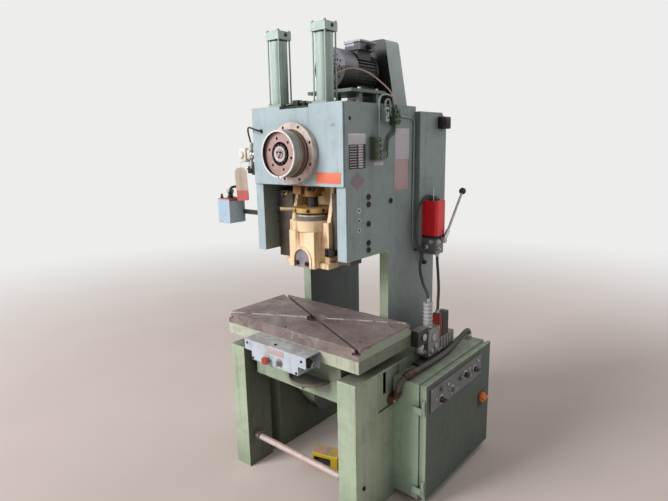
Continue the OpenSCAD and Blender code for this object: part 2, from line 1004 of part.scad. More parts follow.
module motor_fan() {
    color(DARK)
        translate([0, 0, motor_z])
            difference() {
                union() {
                    bar_y(28, motor_y - 62, motor_y - 30);
                    for (a = [0 : 45 : 315])
                        rotate([0, a, 0])
                            box([20, motor_y - 60, -1.5], [motor_r - 18, motor_y - 32, 1.5]);
                }
                bar_y(motor_shaft_r + 0.02, motor_y - 63, motor_y - 29);
            }
}

// Closed belt outline round both wheels at distance d outside their rims
function belt_line(d) =
    let (drop = motor_z - crank_z,
         big = flywheel_r + d,
         small = pulley_r + d,
         tilt = asin((big - small) / drop))
    concat(
        [for (i = [0 : 28]) let (a = tilt - i * (180 + 2 * tilt) / 28) big * [cos(a), sin(a)]],
        [for (i = [0 : 12]) let (a = 180 - tilt - i * (180 - 2 * tilt) / 12)
            [0, drop] + small * [cos(a), sin(a)]]
    );

module drive_belts() {
    color(DARK)
        for (i = [0 : belt_n - 1])
            translate([0, 0, crank_z])
                along_y(belt_place(i) - belt_w / 2, belt_w)
                    difference() {
                        polygon(belt_line(belt_h - groove_h + belt_seat));
                        polygon(belt_line(-groove_h + belt_seat));
                    }
}

// Housing, guard and motor

module housing_outline(inset) {
    polygon([
        [head_back + inset, house_z + inset], [house_back - inset, house_z + inset],
        [house_back - inset, house_top - house_cut - inset * 0.4],
        [house_back - house_cut - inset * 0.4, house_top - inset], [head_back + inset, house_top - inset]
    ]);
}

module flywheel_housing() {
    color(FRAME)
        difference() {
            along_x(-house_x, 2 * house_x)
                housing_outline(0);
            along_x(-house_x + sheet_t, 2 * (house_x - sheet_t))
                housing_outline(sheet_t);
            translate([0, 0, crank_z])
                bar_y(crank_r + 42, head_back - 1, head_back + sheet_t + 1);
            box([-guard_foot + 4, head_back + 4, house_top - sheet_t - 1],
                [guard_foot - 4, guard_back - 4, house_top + 1]);
        }
}

module guard_outline(inset) {
    polygon(rounded([
        [-guard_foot + inset, house_top, 0], [guard_foot - inset, house_top, 0],
        [guard_x - inset, guard_top - inset, guard_round], [-guard_x + inset, guard_top - inset, guard_round]
    ]));
}

module belt_guard() {
    color(FRAME)
        difference() {
            along_y(head_back, guard_back - head_back)
                guard_outline(0);
            along_y(head_back + sheet_t, guard_back - head_back - 2 * sheet_t)
                translate([0, -0.01])
                    guard_outline(sheet_t);
            translate([0, 0, motor_z])
                bar_y(motor_shaft_r + 16, head_back - 1, head_back + sheet_t + 1);
        }
}

module motor_stand() {
    color(FRAME) {
        box([-motor_plate_w / 2, motor_plate_y, motor_plate_z],
            [motor_plate_w / 2, motor_plate_y + motor_plate_l, motor_plate_z + motor_plate_t]);
        for (x = [-1, 1], y = [75, 206])
            box([x * (motor_plate_w / 2 - 16) - 9, motor_plate_y + y - 12, top_z],
                [x * (motor_plate_w / 2 - 16) + 9, motor_plate_y + y + 12, motor_plate_z + 1]);
    }
}

module motor_body() {
    foot_w = 80;
    color(DARK)
        difference() {
            union() {
                translate([0, 0, motor_z]) {
                    bar_y(motor_body_r, motor_y, motor_end);
                    bar_y(motor_r, motor_y, motor_y + 6);
                    bar_y(motor_r - 6, motor_end - 16, motor_end);
                    bar_y(motor_r * 0.5, motor_end - 1, motor_end + 22);
                    for (i = [0 : fin_n - 1])
                        rotate([0, i * 360 / fin_n, 0])
                            box([motor_body_r - 2, motor_y + 5, -fin_t / 2],
                                [motor_body_r + fin_h, motor_end - 22, fin_t / 2]);
                }
                box([-foot_w, motor_y + 34, top_z + motor_stand_h],
                    [foot_w, motor_y + 150, top_z + motor_stand_h + 14]);
                box([-foot_w + 26, motor_y + 40, top_z + motor_stand_h + 1],
                    [foot_w - 26, motor_y + 144, motor_z - motor_body_r + 12]);
                box([terminal_x + 10, terminal_y + 10, motor_z + motor_body_r * 0.5],
                    [terminal_x + terminal_w - 24, terminal_y + terminal_l - 10, terminal_z]);
            }
            box([terminal_x, terminal_y, terminal_z],
                [terminal_x + terminal_w, terminal_y + terminal_l, motor_z + motor_r + 1]);
            translate([0, 0, motor_z])
                bar_y(motor_shaft_r + shaft_gap, motor_y - 1, motor_end + 23);
        }
}

module motor_cowl() {
    color("#77727e")
        translate([0, 0, motor_z])
            difference() {
                bar_y(motor_r, motor_y - cowl_l, motor_y);
                bar_y(motor_r - 2.5, motor_y - cowl_l + 2.5, motor_y + 1);
                for (r = [20 : 12 : motor_r - 16], a = [0 : 30 : 330])
                    rotate([0, a + r, 0])
                        translate([r, 0, 0])
                            bar_y(4, motor_y - cowl_l - 1, motor_y - cowl_l + 4);
            }
}

module motor_terminal_box() {
    color(STEEL) {
        box([terminal_x + 4, terminal_y + 3, terminal_z],
            [terminal_x + terminal_w - 4, terminal_y + terminal_l - 3, terminal_z + terminal_h - 10]);
        box([terminal_x, terminal_y, terminal_z + terminal_h - 11],
            [terminal_x + terminal_w, terminal_y + terminal_l, terminal_z + terminal_h]);
    }
}

// Balance cylinders

module balance_barrels() {
    color(BASE)
        for (s = [-1, 1])
            translate([s * balance_x, balance_y, top_z])
                difference() {
                    union() {
                        translate([-balance_head_w / 2, -balance_head_w / 2, 0])
                            cube([balance_head_w, balance_head_w, barrel_foot_t]);
                        cylinder(r = barrel_r, h = balance_h - balance_cap_t);
                    }
                    translate([0, 0, barrel_foot_t])
                        cylinder(r = barrel_r - barrel_wall, h = balance_h);
                    translate([0, 0, -1])
                        cylinder(r = balance_rod_r + shaft_gap, h = barrel_foot_t + 2);
                }
}

module balance_heads() {
    color(BASE)
        for (s = [-1, 1])
            translate([s * balance_x - balance_head_w / 2, balance_y - balance_head_w / 2,
                       top_z + balance_h - balance_cap_t])
                cube([balance_head_w, balance_head_w, balance_cap_t]);
}

module balance_tie_rods() {
    reach = balance_head_w / 2 - tie_inset;
    color(STEEL)
        for (s = [-1, 1], x = [-1, 1], y = [-1, 1])
            translate([s * balance_x + x * reach, balance_y + y * reach, top_z + barrel_foot_t])
                cylinder(r = tie_r, h = balance_h - balance_cap_t - barrel_foot_t);
}

module balance_rods() {
    color(STEEL)
        for (s = [-1, 1])
            translate([s * balance_x, balance_y, 0]) {
                translate([0, 0, ram_top])
                    cylinder(r = balance_rod_r, h = piston_z - ram_top + 1);
                translate([0, 0, ear_z - 8])
                    cylinder(r = balance_rod_r - 2.2, h = ear_t + 9);
                translate([0, 0, piston_z])
                    cylinder(r = barrel_r - barrel_wall - shaft_gap, h = piston_t);
            }
}

// Electrical cabinet

module electrical_cabinet() {
    color(BASE)
        difference() {
            union() {
                box([cab_x, cab_y, cab_z], [door_x - neck_l, cab_y + cabinet_d, cab_top]);
                box([door_x - neck_l - 1, cab_y + neck_in, cab_z + neck_in],
                    [door_x - door_gap, cab_y + cabinet_d - neck_in, cab_top - neck_in]);
                for (z = hinge_heights) {
                    translate([hinge_x, hinge_y, z])
                        cylinder(r = hinge_r, h = hinge_l / 2);
                    translate([hinge_x, hinge_y, z + hinge_l / 2 - 1])
                        cylinder(r = hinge_pin_r, h = hinge_l / 2);
                    box([door_x - neck_l - 24, hinge_y - 4, z],
                        [hinge_x, hinge_y + 1, z + hinge_l / 2]);
                    box([door_x - neck_l - 24, hinge_y, z],
                        [door_x - neck_l - 2, cab_y + 1, z + hinge_l / 2]);
                }
            }
            box([cab_x + sheet_t, cab_y + sheet_t, cab_z + sheet_t],
                [door_x - neck_l - sheet_t, cab_y + cabinet_d - sheet_t, cab_top - sheet_t]);
            box([door_x - neck_l - sheet_t - 1, cab_y + neck_in + sheet_t, cab_z + neck_in + sheet_t],
                [door_x, cab_y + cabinet_d - neck_in - sheet_t, cab_top - neck_in - sheet_t]);
        }
}

module contactor_panel() {
    panel_x = cab_x + sheet_t;
    inset = 40;
    pitch = (cabinet_d - 2 * inset) / 6;
    row_pitch = (cabinet_h - 2 * inset) / 3;
    color(GREY) {
        box([panel_x, cab_y + inset, cab_z + inset],
            [panel_x + 4, cab_y + cabinet_d - inset, cab_top - inset]);
        for (row = [0 : 2], i = [0 : 5])
            box([panel_x + 3, cab_y + inset + (i + 0.2) * pitch, cab_z + inset + (row + 0.25) * row_pitch],
                [panel_x + 64, cab_y + inset + (i + 0.8) * pitch, cab_z + inset + (row + 0.75) * row_pitch]);
        for (row = [0 : 2])
            box([panel_x + 3, cab_y + inset + 10, cab_z + inset + (row + 0.44) * row_pitch],
                [panel_x + 14, cab_y + cabinet_d - inset - 10, cab_z + inset + (row + 0.56) * row_pitch]);
    }
}

module cabinet_door() {
    color(FRAME)
        difference() {
            union() {
                difference() {
                    box([door_x, cab_y, cab_z], [cab_out, cab_y + cabinet_d, cab_top]);
                    box([door_x - 1, cab_y + door_skin, cab_z + door_skin],
                        [cab_out - door_skin, cab_y + cabinet_d - door_skin, cab_top - door_skin]);
                }
                box([cab_out - 1, strip_y, strip_z], [knob_x, strip_y + strip_l, strip_z + strip_h]);
                for (p = lamp_places)
                    translate([0, p[0], p[1]])
                        bar_x(9, knob_x - 1, knob_x + 9);
                for (z = hinge_heights) {
                    translate([hinge_x, hinge_y, z + hinge_l / 2 + 0.5])
                        cylinder(r = hinge_r, h = hinge_l / 2);
                    box([hinge_x - 5, hinge_y + 2, z + hinge_l / 2 + 0.5],
                        [hinge_x, cab_y + 14, z + hinge_l + 0.5]);
                }
            }
            for (z = hinge_heights)
                translate([hinge_x, hinge_y, z + hinge_l / 2 - 1])
                    cylinder(r = hinge_pin_r + shaft_gap, h = hinge_l / 2 + 0.6);
            for (p = [mode_place, motor_place])
                translate([0, p[0], p[1]])
                    bar_x(knob_shaft_r + shaft_gap, cab_out - 3, knob_x + 1);
            for (p = [start_place, stop_place])
                translate([0, p[0], p[1]])
                    bar_x(plunger_r + slide_gap, cab_out - 3, knob_x + 1);
            translate([0, switch_place[0], switch_place[1]])
                bar_x(knob_shaft_r + shaft_gap, cab_out - 3, cab_out + 1);
        }
}

// A selector: a grip bar on a collar, with its shaft through the strip and the door
module selector(place) {
    color(DARK)
        translate([0, place[0], place[1]]) {
            bar_x(knob_shaft_r, cab_out - 5, knob_x + 1);
            bar_x(knob_r, knob_x + slide_gap, knob_x + 8);
            box([knob_x + 7, -knob_r * 0.9, -knob_r * 0.28], [knob_x + 26, knob_r * 0.9, knob_r * 0.28]);
        }
}

// A push button: a head on a plunger that slides through the strip and the door
module push_button(place, reach) {
    translate([0, place[0], place[1]]) {
        bar_x(plunger_r, cab_out - 4, knob_x + 7);
        bar_x(button_r, knob_x + 6, knob_x + reach);
    }
}

module main_switch() {
    color(ORANGE)
        translate([0, switch_place[0], switch_place[1]]) {
            bar_x(knob_shaft_r, cab_out - 5, cab_out + 1);
            bar_x(26, cab_out + slide_gap, cab_out + 12);
            box([cab_out + 11, -24, -7], [cab_out + 26, 24, 7]);
        }
}

// Two-hand console

module console() {
    x0 = con_x - console_l / 2;
    x1 = con_x + console_l / 2;
    color(BLUE)
        difference() {
            union() {
                box([x0 + hood_l, con_front, con_z], [x1 - hood_l, con_y, con_top]);
                for (x = [x0, x1 - hood_l - 1]) {
                    box([x, con_front, con_top - con_wall], [x + hood_l + 1, con_y, con_top]);
                    box([x, con_front, con_top - 50], [x + hood_l + 1, con_front + con_wall, con_top]);
                    box([x, con_y - con_wall, con_z + 16], [x + hood_l + 1, con_y, con_top]);
                }
            }
            translate([con_x - 38, 0, con_z + 26])
                bar_y(8 + slide_gap, con_front - 1, con_front + 20);
            translate([con_x + 34, 0, con_z + 30])
                bar_y(knob_shaft_r + shaft_gap, con_front - 1, con_front + 16);
            for (s = [-1, 1])
                translate([con_x, con_y - console_d / 2, con_z + console_h / 2])
                    bar_x(8 + slide_gap, s > 0 ? console_l / 2 - hood_l - 20 : -console_l / 2 + hood_l - 1,
                          s > 0 ? console_l / 2 - hood_l + 1 : -console_l / 2 + hood_l + 20);
        }
}

module emergency_button() {
    color(RED)
        translate([con_x - 38, 0, con_z + 26]) {
            bar_y(17, con_front - 24, con_front - 12);
            bar_y(8, con_front - 13, con_front + 12);
        }
}

module console_selector() {
    color(DARK)
        translate([con_x + 34, 0, con_z + 30]) {
            bar_y(knob_shaft_r, con_front - 1, con_front + 14);
            bar_y(13, con_front - 8, con_front - slide_gap);
            box([-4, con_front - 20, -12], [4, con_front - 7, 12]);
        }
}

module palm_button(side) {
    root = console_l / 2 - hood_l;
    color(DARK)
        mirror([side < 0 ? 1 : 0, 0, 0])
            translate([side * con_x, con_y - console_d / 2, con_z + console_h / 2]) {
                bar_x(palm_r, root + 12, root + 24);
                bar_x(8, root - 12, root + 13);
            }
}

// Foot switch on the floor

module on_foot() {
    translate([foot_x, foot_y, 0])
        rotate([0, 0, foot_turn])
            children();
}

module foot_outline(inset) {
    polygon(rounded([
        [inset, 8, 0], [inset, foot_h - inset, 8],
        [foot_l - inset, foot_h - foot_drop - inset, 14], [foot_l - inset, 8, 0]
    ]));
}

module foot_switch() {
    color("#dfc022")
        on_foot()
            difference() {
                union() {
                    box([-4, 0, 0], [foot_w + 4, foot_l + 8, 8.5]);
                    along_x(0, foot_w)
                        foot_outline(0);
                }
                along_x(4, foot_w - 8)
                    foot_outline(4);
                box([foot_post, -1, 12], [foot_post + foot_gap_w, 30, foot_h - foot_rim]);
                translate([0, pedal_y, pedal_z])
                    bar_x(pedal_r + shaft_gap, -1, foot_w + 1);
            }
}

module foot_pedal() {
    color(DARK)
        on_foot()
            translate([0, pedal_y, pedal_z]) {
                box([foot_post + 4, 6 - pedal_y, -pedal_r],
                    [foot_post + foot_gap_w - 4, 6, pedal_r]);
                bar_x(pedal_r, 0, foot_w);
            }
}

// Oil pump on the housing's right side

module oil_pump() {
    color(RED)
        difference() {
            union() {
                translate([pump_x, pump_y, pump_z])
                    linear_extrude(tank_h)
                        polygon(rounded([
                            [0, 0, 0], [pump_w, 0, 14], [pump_w, pump_l, 14], [0, pump_l, 0]
                        ]));
                box([pump_x, pump_y + 6, pump_z - pump_body_h],
                    [pump_x + pump_w - 8, pump_y + pump_l - 6, pump_z + 1]);
                translate([pump_x + 40, pump_y + 44, pump_z + tank_h - 1])
                    cylinder(r = 12, h = 14);
            }
            translate([0, lever_y, lever_z])
                bar_x(6 + shaft_gap, pump_x + pump_w - 40, pump_x + pump_w + 20);
        }
}

module pump_lever() {
    angle = atan2(lever_reach[0], lever_reach[1]);
    color(DARK)
        translate([0, lever_y, lever_z]) {
            bar_x(6, pump_x + pump_w - 36, lever_x + 8);
            bar_x(13, pump_x + pump_w - 7, lever_x + 8);
            translate([lever_x, 0, 0])
                rotate([-angle, 0, 0]) {
                    cylinder(r = 6, h = norm(lever_reach));
                    translate([0, 0, norm(lever_reach)])
                        sphere(r = 17);
                }
        }
}

// Air valves on the cabinet

module air_valve_unit() {
    lift = 23;
    color(GREY) {
        box([valve_x, valve_y - 60, valve_z], [valve_x + valve_w, valve_y + 250, valve_z + foot_plate_t]);
        box([valve_x + 8, valve_y + 10, valve_z + foot_plate_t - 1],
            [valve_x + valve_w - 8, valve_y + 240, valve_z + lift + 1]);
        box([valve_x, valve_y, valve_z + lift], [valve_x + valve_w, valve_y + body_l, valve_z + body_h]);
        box([valve_x, valve_y + body_l - 1, valve_z + lift],
            [valve_x + valve_w, valve_y + body_l + manifold_l, valve_z + manifold_h]);
        for (i = [0 : 4])
            box([valve_x + valve_w - 1, valve_y + body_l + 12 + i * 27, valve_z + 40],
                [valve_x + valve_w + 3, valve_y + body_l + 22 + i * 27, valve_z + manifold_h - 6]);
        box([valve_x + 2, valve_y - 88, valve_z + 102], [valve_x + valve_w - 2, valve_y + 1, valve_z + 177]);
        box([valve_x + 4, coil_y - 15, valve_z + manifold_h - 1],
            [valve_x + valve_w - 4, coil_y + 15, valve_z + manifold_h + solenoid_h]);
        box([valve_x + 4, coil_y + 21, valve_z + manifold_h - 1],
            [valve_x + valve_w - 4, coil_y + 77, valve_z + manifold_h + solenoid_h]);
        translate([valve_mid_x, muffler_y, valve_z + body_h - 1])
            cylinder(r = 11, h = 12);
        for (i = [0 : ring_n - 1])
            translate([valve_mid_x, muffler_y, valve_z + body_h + 9 + i * ring_pitch])
                cylinder(r = i % 2 == 0 ? 22 : 18, h = ring_pitch + 1);
    }
}

// Fittings on the frame's sides

module side_fittings() {
    stack_z = head_z + stack_rise;
    block_z = head_z + relay_rise;
    left_z = head_z + regulator_rise;
    cylinder_z = head_z + switch_rise;
    color(GREY) {
        box([side_x, stack_y, stack_z], [side_x + 8, stack_y + stack_l, stack_z + stack_n * stack_pitch]);
        for (i = [0 : stack_n - 1])
            box([side_x + 7, stack_y + 2, stack_z + 2 + i * stack_pitch],
                [side_x + 24, stack_y + stack_l - 2, stack_z - 2 + (i + 1) * stack_pitch]);
        box([side_x, relay_y, block_z], [side_x + 24, relay_y + 24, block_z + relay_h]);
        box([side_x, relay_y + 60, block_z - 13], [side_x + 30, relay_y + 100, block_z + relay_h - 5]);
        box([-side_x - 30, head_y + 6, left_z + 40], [-side_x, head_y + 50, left_z + 60]);
        box([-side_x - 202, head_y - 72, left_z], [-side_x - 117, head_y + 23, left_z + regulator_h]);
        box([-side_x - 118, head_y + 6, left_z + 40], [-side_x - 29, head_y + 22, left_z + 60]);
        translate([0, head_y + 20, cylinder_z]) {
            bar_x(10, -side_x - 60, -side_x);
            bar_x(24, -side_x - 106, -side_x - 59);
        }
    }
}

// Hoses and the conduit. Each route is a list of points chosen by hand.
ROUTE_FEED = [
    [316, 262, 1100], [316, 258, 1100], [316, 254, 1100], [318, 232, 1094], [335, 170, 1020],
    [375, 130, 955], [408, 112, 915], [416, 110, 880], [416, 110, 876], [416, 110, 872]
];
ROUTE_PRESSURE = [
    [345, 318, 1065], [345, 318, 1060], [345, 318, 1055], [348, 314, 1020], [363, 298, 960],
    [388, 260, 900], [408, 220, 852], [416, 203, 815], [416, 201, 803], [416, 201, 799], [416, 201, 795]
];
ROUTE_CONDUIT = [
    [383, -153, 487], [388, -153, 487], [393, -153, 487], [409, -154, 493], [420, -156, 515],
    [429, -157, 550], [441, -155, 585], [456, -138, 606], [464, -98, 613], [463, -40, 609],
    [465, 102, 605], [460, 216, 605], [454, 340, 618], [455, 420, 638], [452, 462, 638],
    [447, 486, 620], [446, 490, 600], [446, 490, 594], [446, 490, 588]
];

// A route moved so that it starts at a and ends at b
function fitted(route, a, b) =
    let (n = len(route), da = a - route[0], db = b - route[n - 1])
    [for (i = [0 : n - 1])
        let (w = min(max((i - 2) / (n - 5), 0), 1))
        route[i] + (1 - w) * da + w * db];

function ring_axes(p, i) =
    let (a = p[max(i - 1, 0)], b = p[min(i + 1, len(p) - 1)], t = unit(b - a),
         s = unit(cross(t, abs(t[2]) > 0.9 ? [1, 0, 0] : [0, 0, 1])))
    [s, cross(s, t)];

// Points of a smooth curve through the route's own points, n to each stretch
function smooth(p, n) =
    [for (i = [0 : len(p) - 2], k = [0 : n - 1])
        let (a = p[max(i - 1, 0)], b = p[i], c = p[i + 1], d = p[min(i + 2, len(p) - 1)], t = k / n,
             square_term = 2 * a - 5 * b + 4 * c - d,
             cube_term = 3 * b - a - 3 * c + d)
        b + 0.5 * ((c - a) * t + square_term * t * t + cube_term * t * t * t),
     p[len(p) - 1]];

module tube(route, r, n = 3, sides = 8) {
    p = smooth(route, n);
    points = [for (i = [0 : len(p) - 1]) let (ax = ring_axes(p, i))
        for (k = [0 : sides - 1])
            p[i] + r * (cos(k * 360 / sides) * ax[0] + sin(k * 360 / sides) * ax[1])];
    walls = [for (i = [0 : len(p) - 2], k = [0 : sides - 1])
        let (j = (k + 1) % sides)
        [i * sides + k, i * sides + j, (i + 1) * sides + j, (i + 1) * sides + k]];
    first = [for (k = [sides - 1 : -1 : 0]) k];
    last = [for (k = [0 : sides - 1]) (len(p) - 1) * sides + k];
    polyhedron(points, concat([first], walls, [last]));
}

module air_lines() {
    color(DARK) {
        tube(fitted(ROUTE_FEED, [pump_x + 23, pump_y + 6, pump_z - 55],
                    [valve_mid_x, muffler_y, valve_z + body_h + 10 + ring_n * ring_pitch]), hose_r);
        tube(fitted(ROUTE_PRESSURE, [pump_x + 52, pump_y + 62, pump_z - pump_body_h],
                    [valve_mid_x, coil_y, valve_z + manifold_h + solenoid_h]), hose_r);
        tube(fitted(ROUTE_CONDUIT, [base_x - pocket_t, -153, rail_z + 28],
                    [cab_x + 57, cab_y + 627, cab_top]), conduit_r);
    }
}

frame_side(-side_x);  // frame_side_left
frame_side(inner_x);  // frame_side_right
head_top_plate();
front_cover();
crank_flange();
rear_bearing_plate();
lower_arm();
table_casting();
bolster();
base_left();
base_right();
foot_bar();
round_shelf();
gib(-1);  // gib_left
gib(1);  // gib_right
motor_stand();
motor_body();
motor_cowl();
motor_terminal_box();
motor_pulley();
motor_fan();
drive_belts();
flywheel();
flywheel_housing();
belt_guard();
balance_barrels();
balance_heads();
balance_tie_rods();
balance_rods();
crankshaft();
stroke_drum();
crank_nut();
connecting_rod();
adjusting_screw();
lock_ring();
tommy_bar();
ball_cup();
ram();
shank_clamp();
clamp_bolts();
electrical_cabinet();
contactor_panel();
cabinet_door();
main_switch();
color("#d8d4c4") push_button(start_place, 16);  // start_button
color(DARK) push_button(stop_place, 18);  // stop_button
selector(mode_place);  // mode_selector
selector(motor_place);  // motor_selector
console();
emergency_button();
console_selector();
palm_button(-1);  // palm_button_left
palm_button(1);  // palm_button_right
foot_switch();
foot_pedal();
oil_pump();
pump_lever();
air_valve_unit();
air_lines();
side_fittings();
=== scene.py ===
"""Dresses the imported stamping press: paints, metals, fasteners, pipes and plates, and a plain studio."""

import math

import bmesh
import bpy
from bpy.props import FloatProperty, FloatVectorProperty, IntProperty, PointerProperty
from mathutils import Matrix, Vector


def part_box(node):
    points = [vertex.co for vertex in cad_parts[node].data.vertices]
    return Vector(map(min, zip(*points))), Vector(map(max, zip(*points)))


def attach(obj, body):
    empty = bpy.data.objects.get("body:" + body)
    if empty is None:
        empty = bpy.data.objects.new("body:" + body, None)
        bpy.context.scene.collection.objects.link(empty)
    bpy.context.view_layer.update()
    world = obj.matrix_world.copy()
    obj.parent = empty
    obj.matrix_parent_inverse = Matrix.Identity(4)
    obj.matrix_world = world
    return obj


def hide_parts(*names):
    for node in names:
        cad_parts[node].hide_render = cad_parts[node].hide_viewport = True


bl_info = {
    "name": "Stamping press dressing",
    "version": (1, 0, 0),
    "blender": (4, 5, 0),
    "location": "3D View > Sidebar > Press",
    "description": "Adds finishes and small parts to a packed stamping press",
    "category": "Object",
}

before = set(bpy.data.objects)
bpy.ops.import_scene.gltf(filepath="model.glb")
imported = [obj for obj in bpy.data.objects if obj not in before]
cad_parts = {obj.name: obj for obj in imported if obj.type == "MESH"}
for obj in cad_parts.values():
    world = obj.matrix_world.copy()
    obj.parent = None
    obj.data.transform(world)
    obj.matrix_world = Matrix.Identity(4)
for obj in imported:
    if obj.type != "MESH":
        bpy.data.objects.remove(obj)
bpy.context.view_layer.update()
MM = 0.001

# Directions of the press's frame, and the ram's and the crankshaft's axes in millimetres
RIGHT, LEFT, BACK, FRONT, UP, DOWN = (1, 0, 0), (-1, 0, 0), (0, 1, 0), (0, -1, 0), (0, 0, 1), (0, 0, -1)
RAM_Y = -209
CRANK_Z = 1565

# Routes of the hoses and the conduit in millimetres, as in the part's source
FEED = (
    (316, 262, 1100), (316, 258, 1100), (316, 254, 1100), (318, 232, 1094), (335, 170, 1020),
    (375, 130, 955), (408, 112, 915), (416, 110, 880), (416, 110, 876), (416, 110, 872),
)
PRESSURE = (
    (345, 318, 1065), (345, 318, 1060), (345, 318, 1055), (348, 314, 1020), (363, 298, 960), (388, 260, 900),
    (408, 220, 852), (416, 203, 815), (416, 201, 803), (416, 201, 799), (416, 201, 795),
)
CONDUIT = (
    (383, -153, 487), (388, -153, 487), (393, -153, 487), (409, -154, 493), (420, -156, 515), (429, -157, 550),
    (441, -155, 585), (456, -138, 606), (464, -98, 613), (463, -40, 609), (465, 102, 605), (460, 216, 605),
    (454, 340, 618), (455, 420, 638), (452, 462, 638), (447, 486, 620), (446, 490, 600), (446, 490, 594),
    (446, 490, 588),
)


def mm(*values):
    """Millimetres as a vector in metres."""
    return Vector(values) * MM


def colour_property(name, description, value):
    """A colour written as it looks on screen."""
    return FloatVectorProperty(
        name=name, description=description, default=value, subtype="COLOR_GAMMA", min=0, max=1
    )


class PressPaints(bpy.types.PropertyGroup):
    """Colours of the press's finishes."""

    head: colour_property("Head", "Blue-grey enamel of the head's front", (0.71, 0.785, 0.81))
    # The side colour is darker and greener than the head's partly as painted shade on the side faces, which face
    # away from the light
    side: colour_property("Sides", "Grey-green enamel of the side plates and housing", (0.58, 0.645, 0.64))
    base: colour_property("Base", "Green enamel of the base and the table", (0.68, 0.74, 0.645))
    cylinder: colour_property("Cylinders", "Pale green enamel of the balance cylinders", (0.72, 0.80, 0.765))
    ram: colour_property("Ram", "Cream enamel of the ram", (0.98, 0.87, 0.72))
    console: colour_property("Console", "Light blue enamel of the two-hand console", (0.80, 0.84, 0.88))
    cabinet: colour_property("Cabinet", "Green enamel of the cabinet", (0.72, 0.82, 0.72))
    reservoir: colour_property("Reservoir", "Red enamel of the oil reservoir", (1.0, 0.09, 0.16))
    guard: colour_property("Foot switch", "Yellow enamel of the foot switch", (0.93, 0.78, 0.12))
    motor: colour_property("Motor", "Oily dark finish of the motor", (0.20, 0.21, 0.22))
    cowl: colour_property("Cowl", "Faded enamel of the motor's cowl", (0.46, 0.45, 0.50))
    rust: colour_property("Rust", "Rust that shows through worn places", (0.42, 0.27, 0.18))


class PressDetail(bpy.types.PropertyGroup):
    """Sizes of the small parts."""

    edge: FloatProperty(
        name="Edge radius", description="Radius of the broken edges", default=0.0022, unit="LENGTH", min=0
    )
    flange_bolt_r: FloatProperty(
        name="Flange bolt radius", description="Head radius of the flange's bolts", default=0.0062, unit="LENGTH"
    )
    flange_bolts: IntProperty(name="Flange bolts", description="Bolts round the crank flange", default=8, min=3)
    cylinder_nut: FloatProperty(
        name="Tie rod nut radius", description="Radius of the nuts on the cylinders", default=0.0062, unit="LENGTH"
    )


class PressStage(bpy.types.PropertyGroup):
    """The camera, the floor and the light."""

    focal: FloatProperty(name="Focal length", description="In millimetres on a 36 mm sensor", default=27.754)
    spot: FloatVectorProperty(
        name="Camera place", description="Where the camera stands",
        default=(1.56759, -1.91971, 1.59808), unit="LENGTH",
    )
    turn: FloatVectorProperty(
        name="Camera turn", description="Yaw, pitch and roll",
        default=(0.702251, -0.202528, -0.019984), unit="ROTATION",
    )
    floor: colour_property("Floor", "Colour of the floor", (0.86, 0.80, 0.77))
    backdrop: colour_property("Backdrop", "Colour of what lies behind the floor", (0.93, 0.93, 0.925))
    sky: FloatProperty(name="Room light", description="Light from all round", default=0.20, min=0)
    key: FloatProperty(name="Key light", description="Strength of the large lamp, in watts", default=1060, min=0)


# What gathers on old finishes
DIRT = (0.34, 0.31, 0.26)
DUST = (0.61, 0.56, 0.52)
STEEL_RUST = (0.50, 0.36, 0.27)

# Radius of the broken edges of metal and plastic parts
SMALL_EDGE = 0.0012

# Half the width of the bolster's T slots
SLOT_HALF = 0.009

# The foot switch: its place, its turn, and the height, length and drop of its lid in millimetres
FOOT_SPOT = (-58, -202, 0)
FOOT_TURN = math.radians(15)
FOOT_H, FOOT_L, FOOT_DROP = 70, 88, 2

# Half the distance between the conduit's ribs
RIB = 0.0035

# Edges that bend less than this are shaded smooth
CREASE = math.radians(32)

# What the camera sees of the floor's far part and the room, also in metal and glass
SEEN_RAYS = ("Is Camera Ray", "Is Glossy Ray", "Is Transmission Ray")


# Shader maths


class Signal:
    """A shader socket that takes part in Python sums: each operation adds one Math node."""

    def __init__(self, tree, socket):
        self.tree = tree
        self.socket = socket

    def apply(self, operation, *values):
        node = self.tree.nodes.new("ShaderNodeMath")
        node.operation = operation
        for slot, value in zip(node.inputs, values):
            if isinstance(value, Signal):
                self.tree.links.new(value.socket, slot)
            else:
                slot.default_value = value
        return Signal(self.tree, node.outputs[0])

    def __add__(self, other):
        return self.apply("ADD", self, other)

    def __radd__(self, other):
        return self.apply("ADD", other, self)

    def __sub__(self, other):
        return self.apply("SUBTRACT", self, other)

    def __rsub__(self, other):
        return self.apply("SUBTRACT", other, self)

    def __mul__(self, other):
        return self.apply("MULTIPLY", self, other)

    def __rmul__(self, other):
        return self.apply("MULTIPLY", other, self)

    def __pow__(self, other):
        return self.apply("POWER", self, other)

    def highest(self, other):
        return self.apply("MAXIMUM", self, other)


def linear(rgb):
    """A colour as seen on screen, as linear light with alpha."""
    return tuple(c / 12.92 if c <= 0.04045 else ((c + 0.055) / 1.055) ** 2.4 for c in rgb) + (1.0,)


def shade(rgb, factor):
    """A darker or lighter version of a screen colour."""
    return tuple(min(1.0, c * factor) for c in rgb)


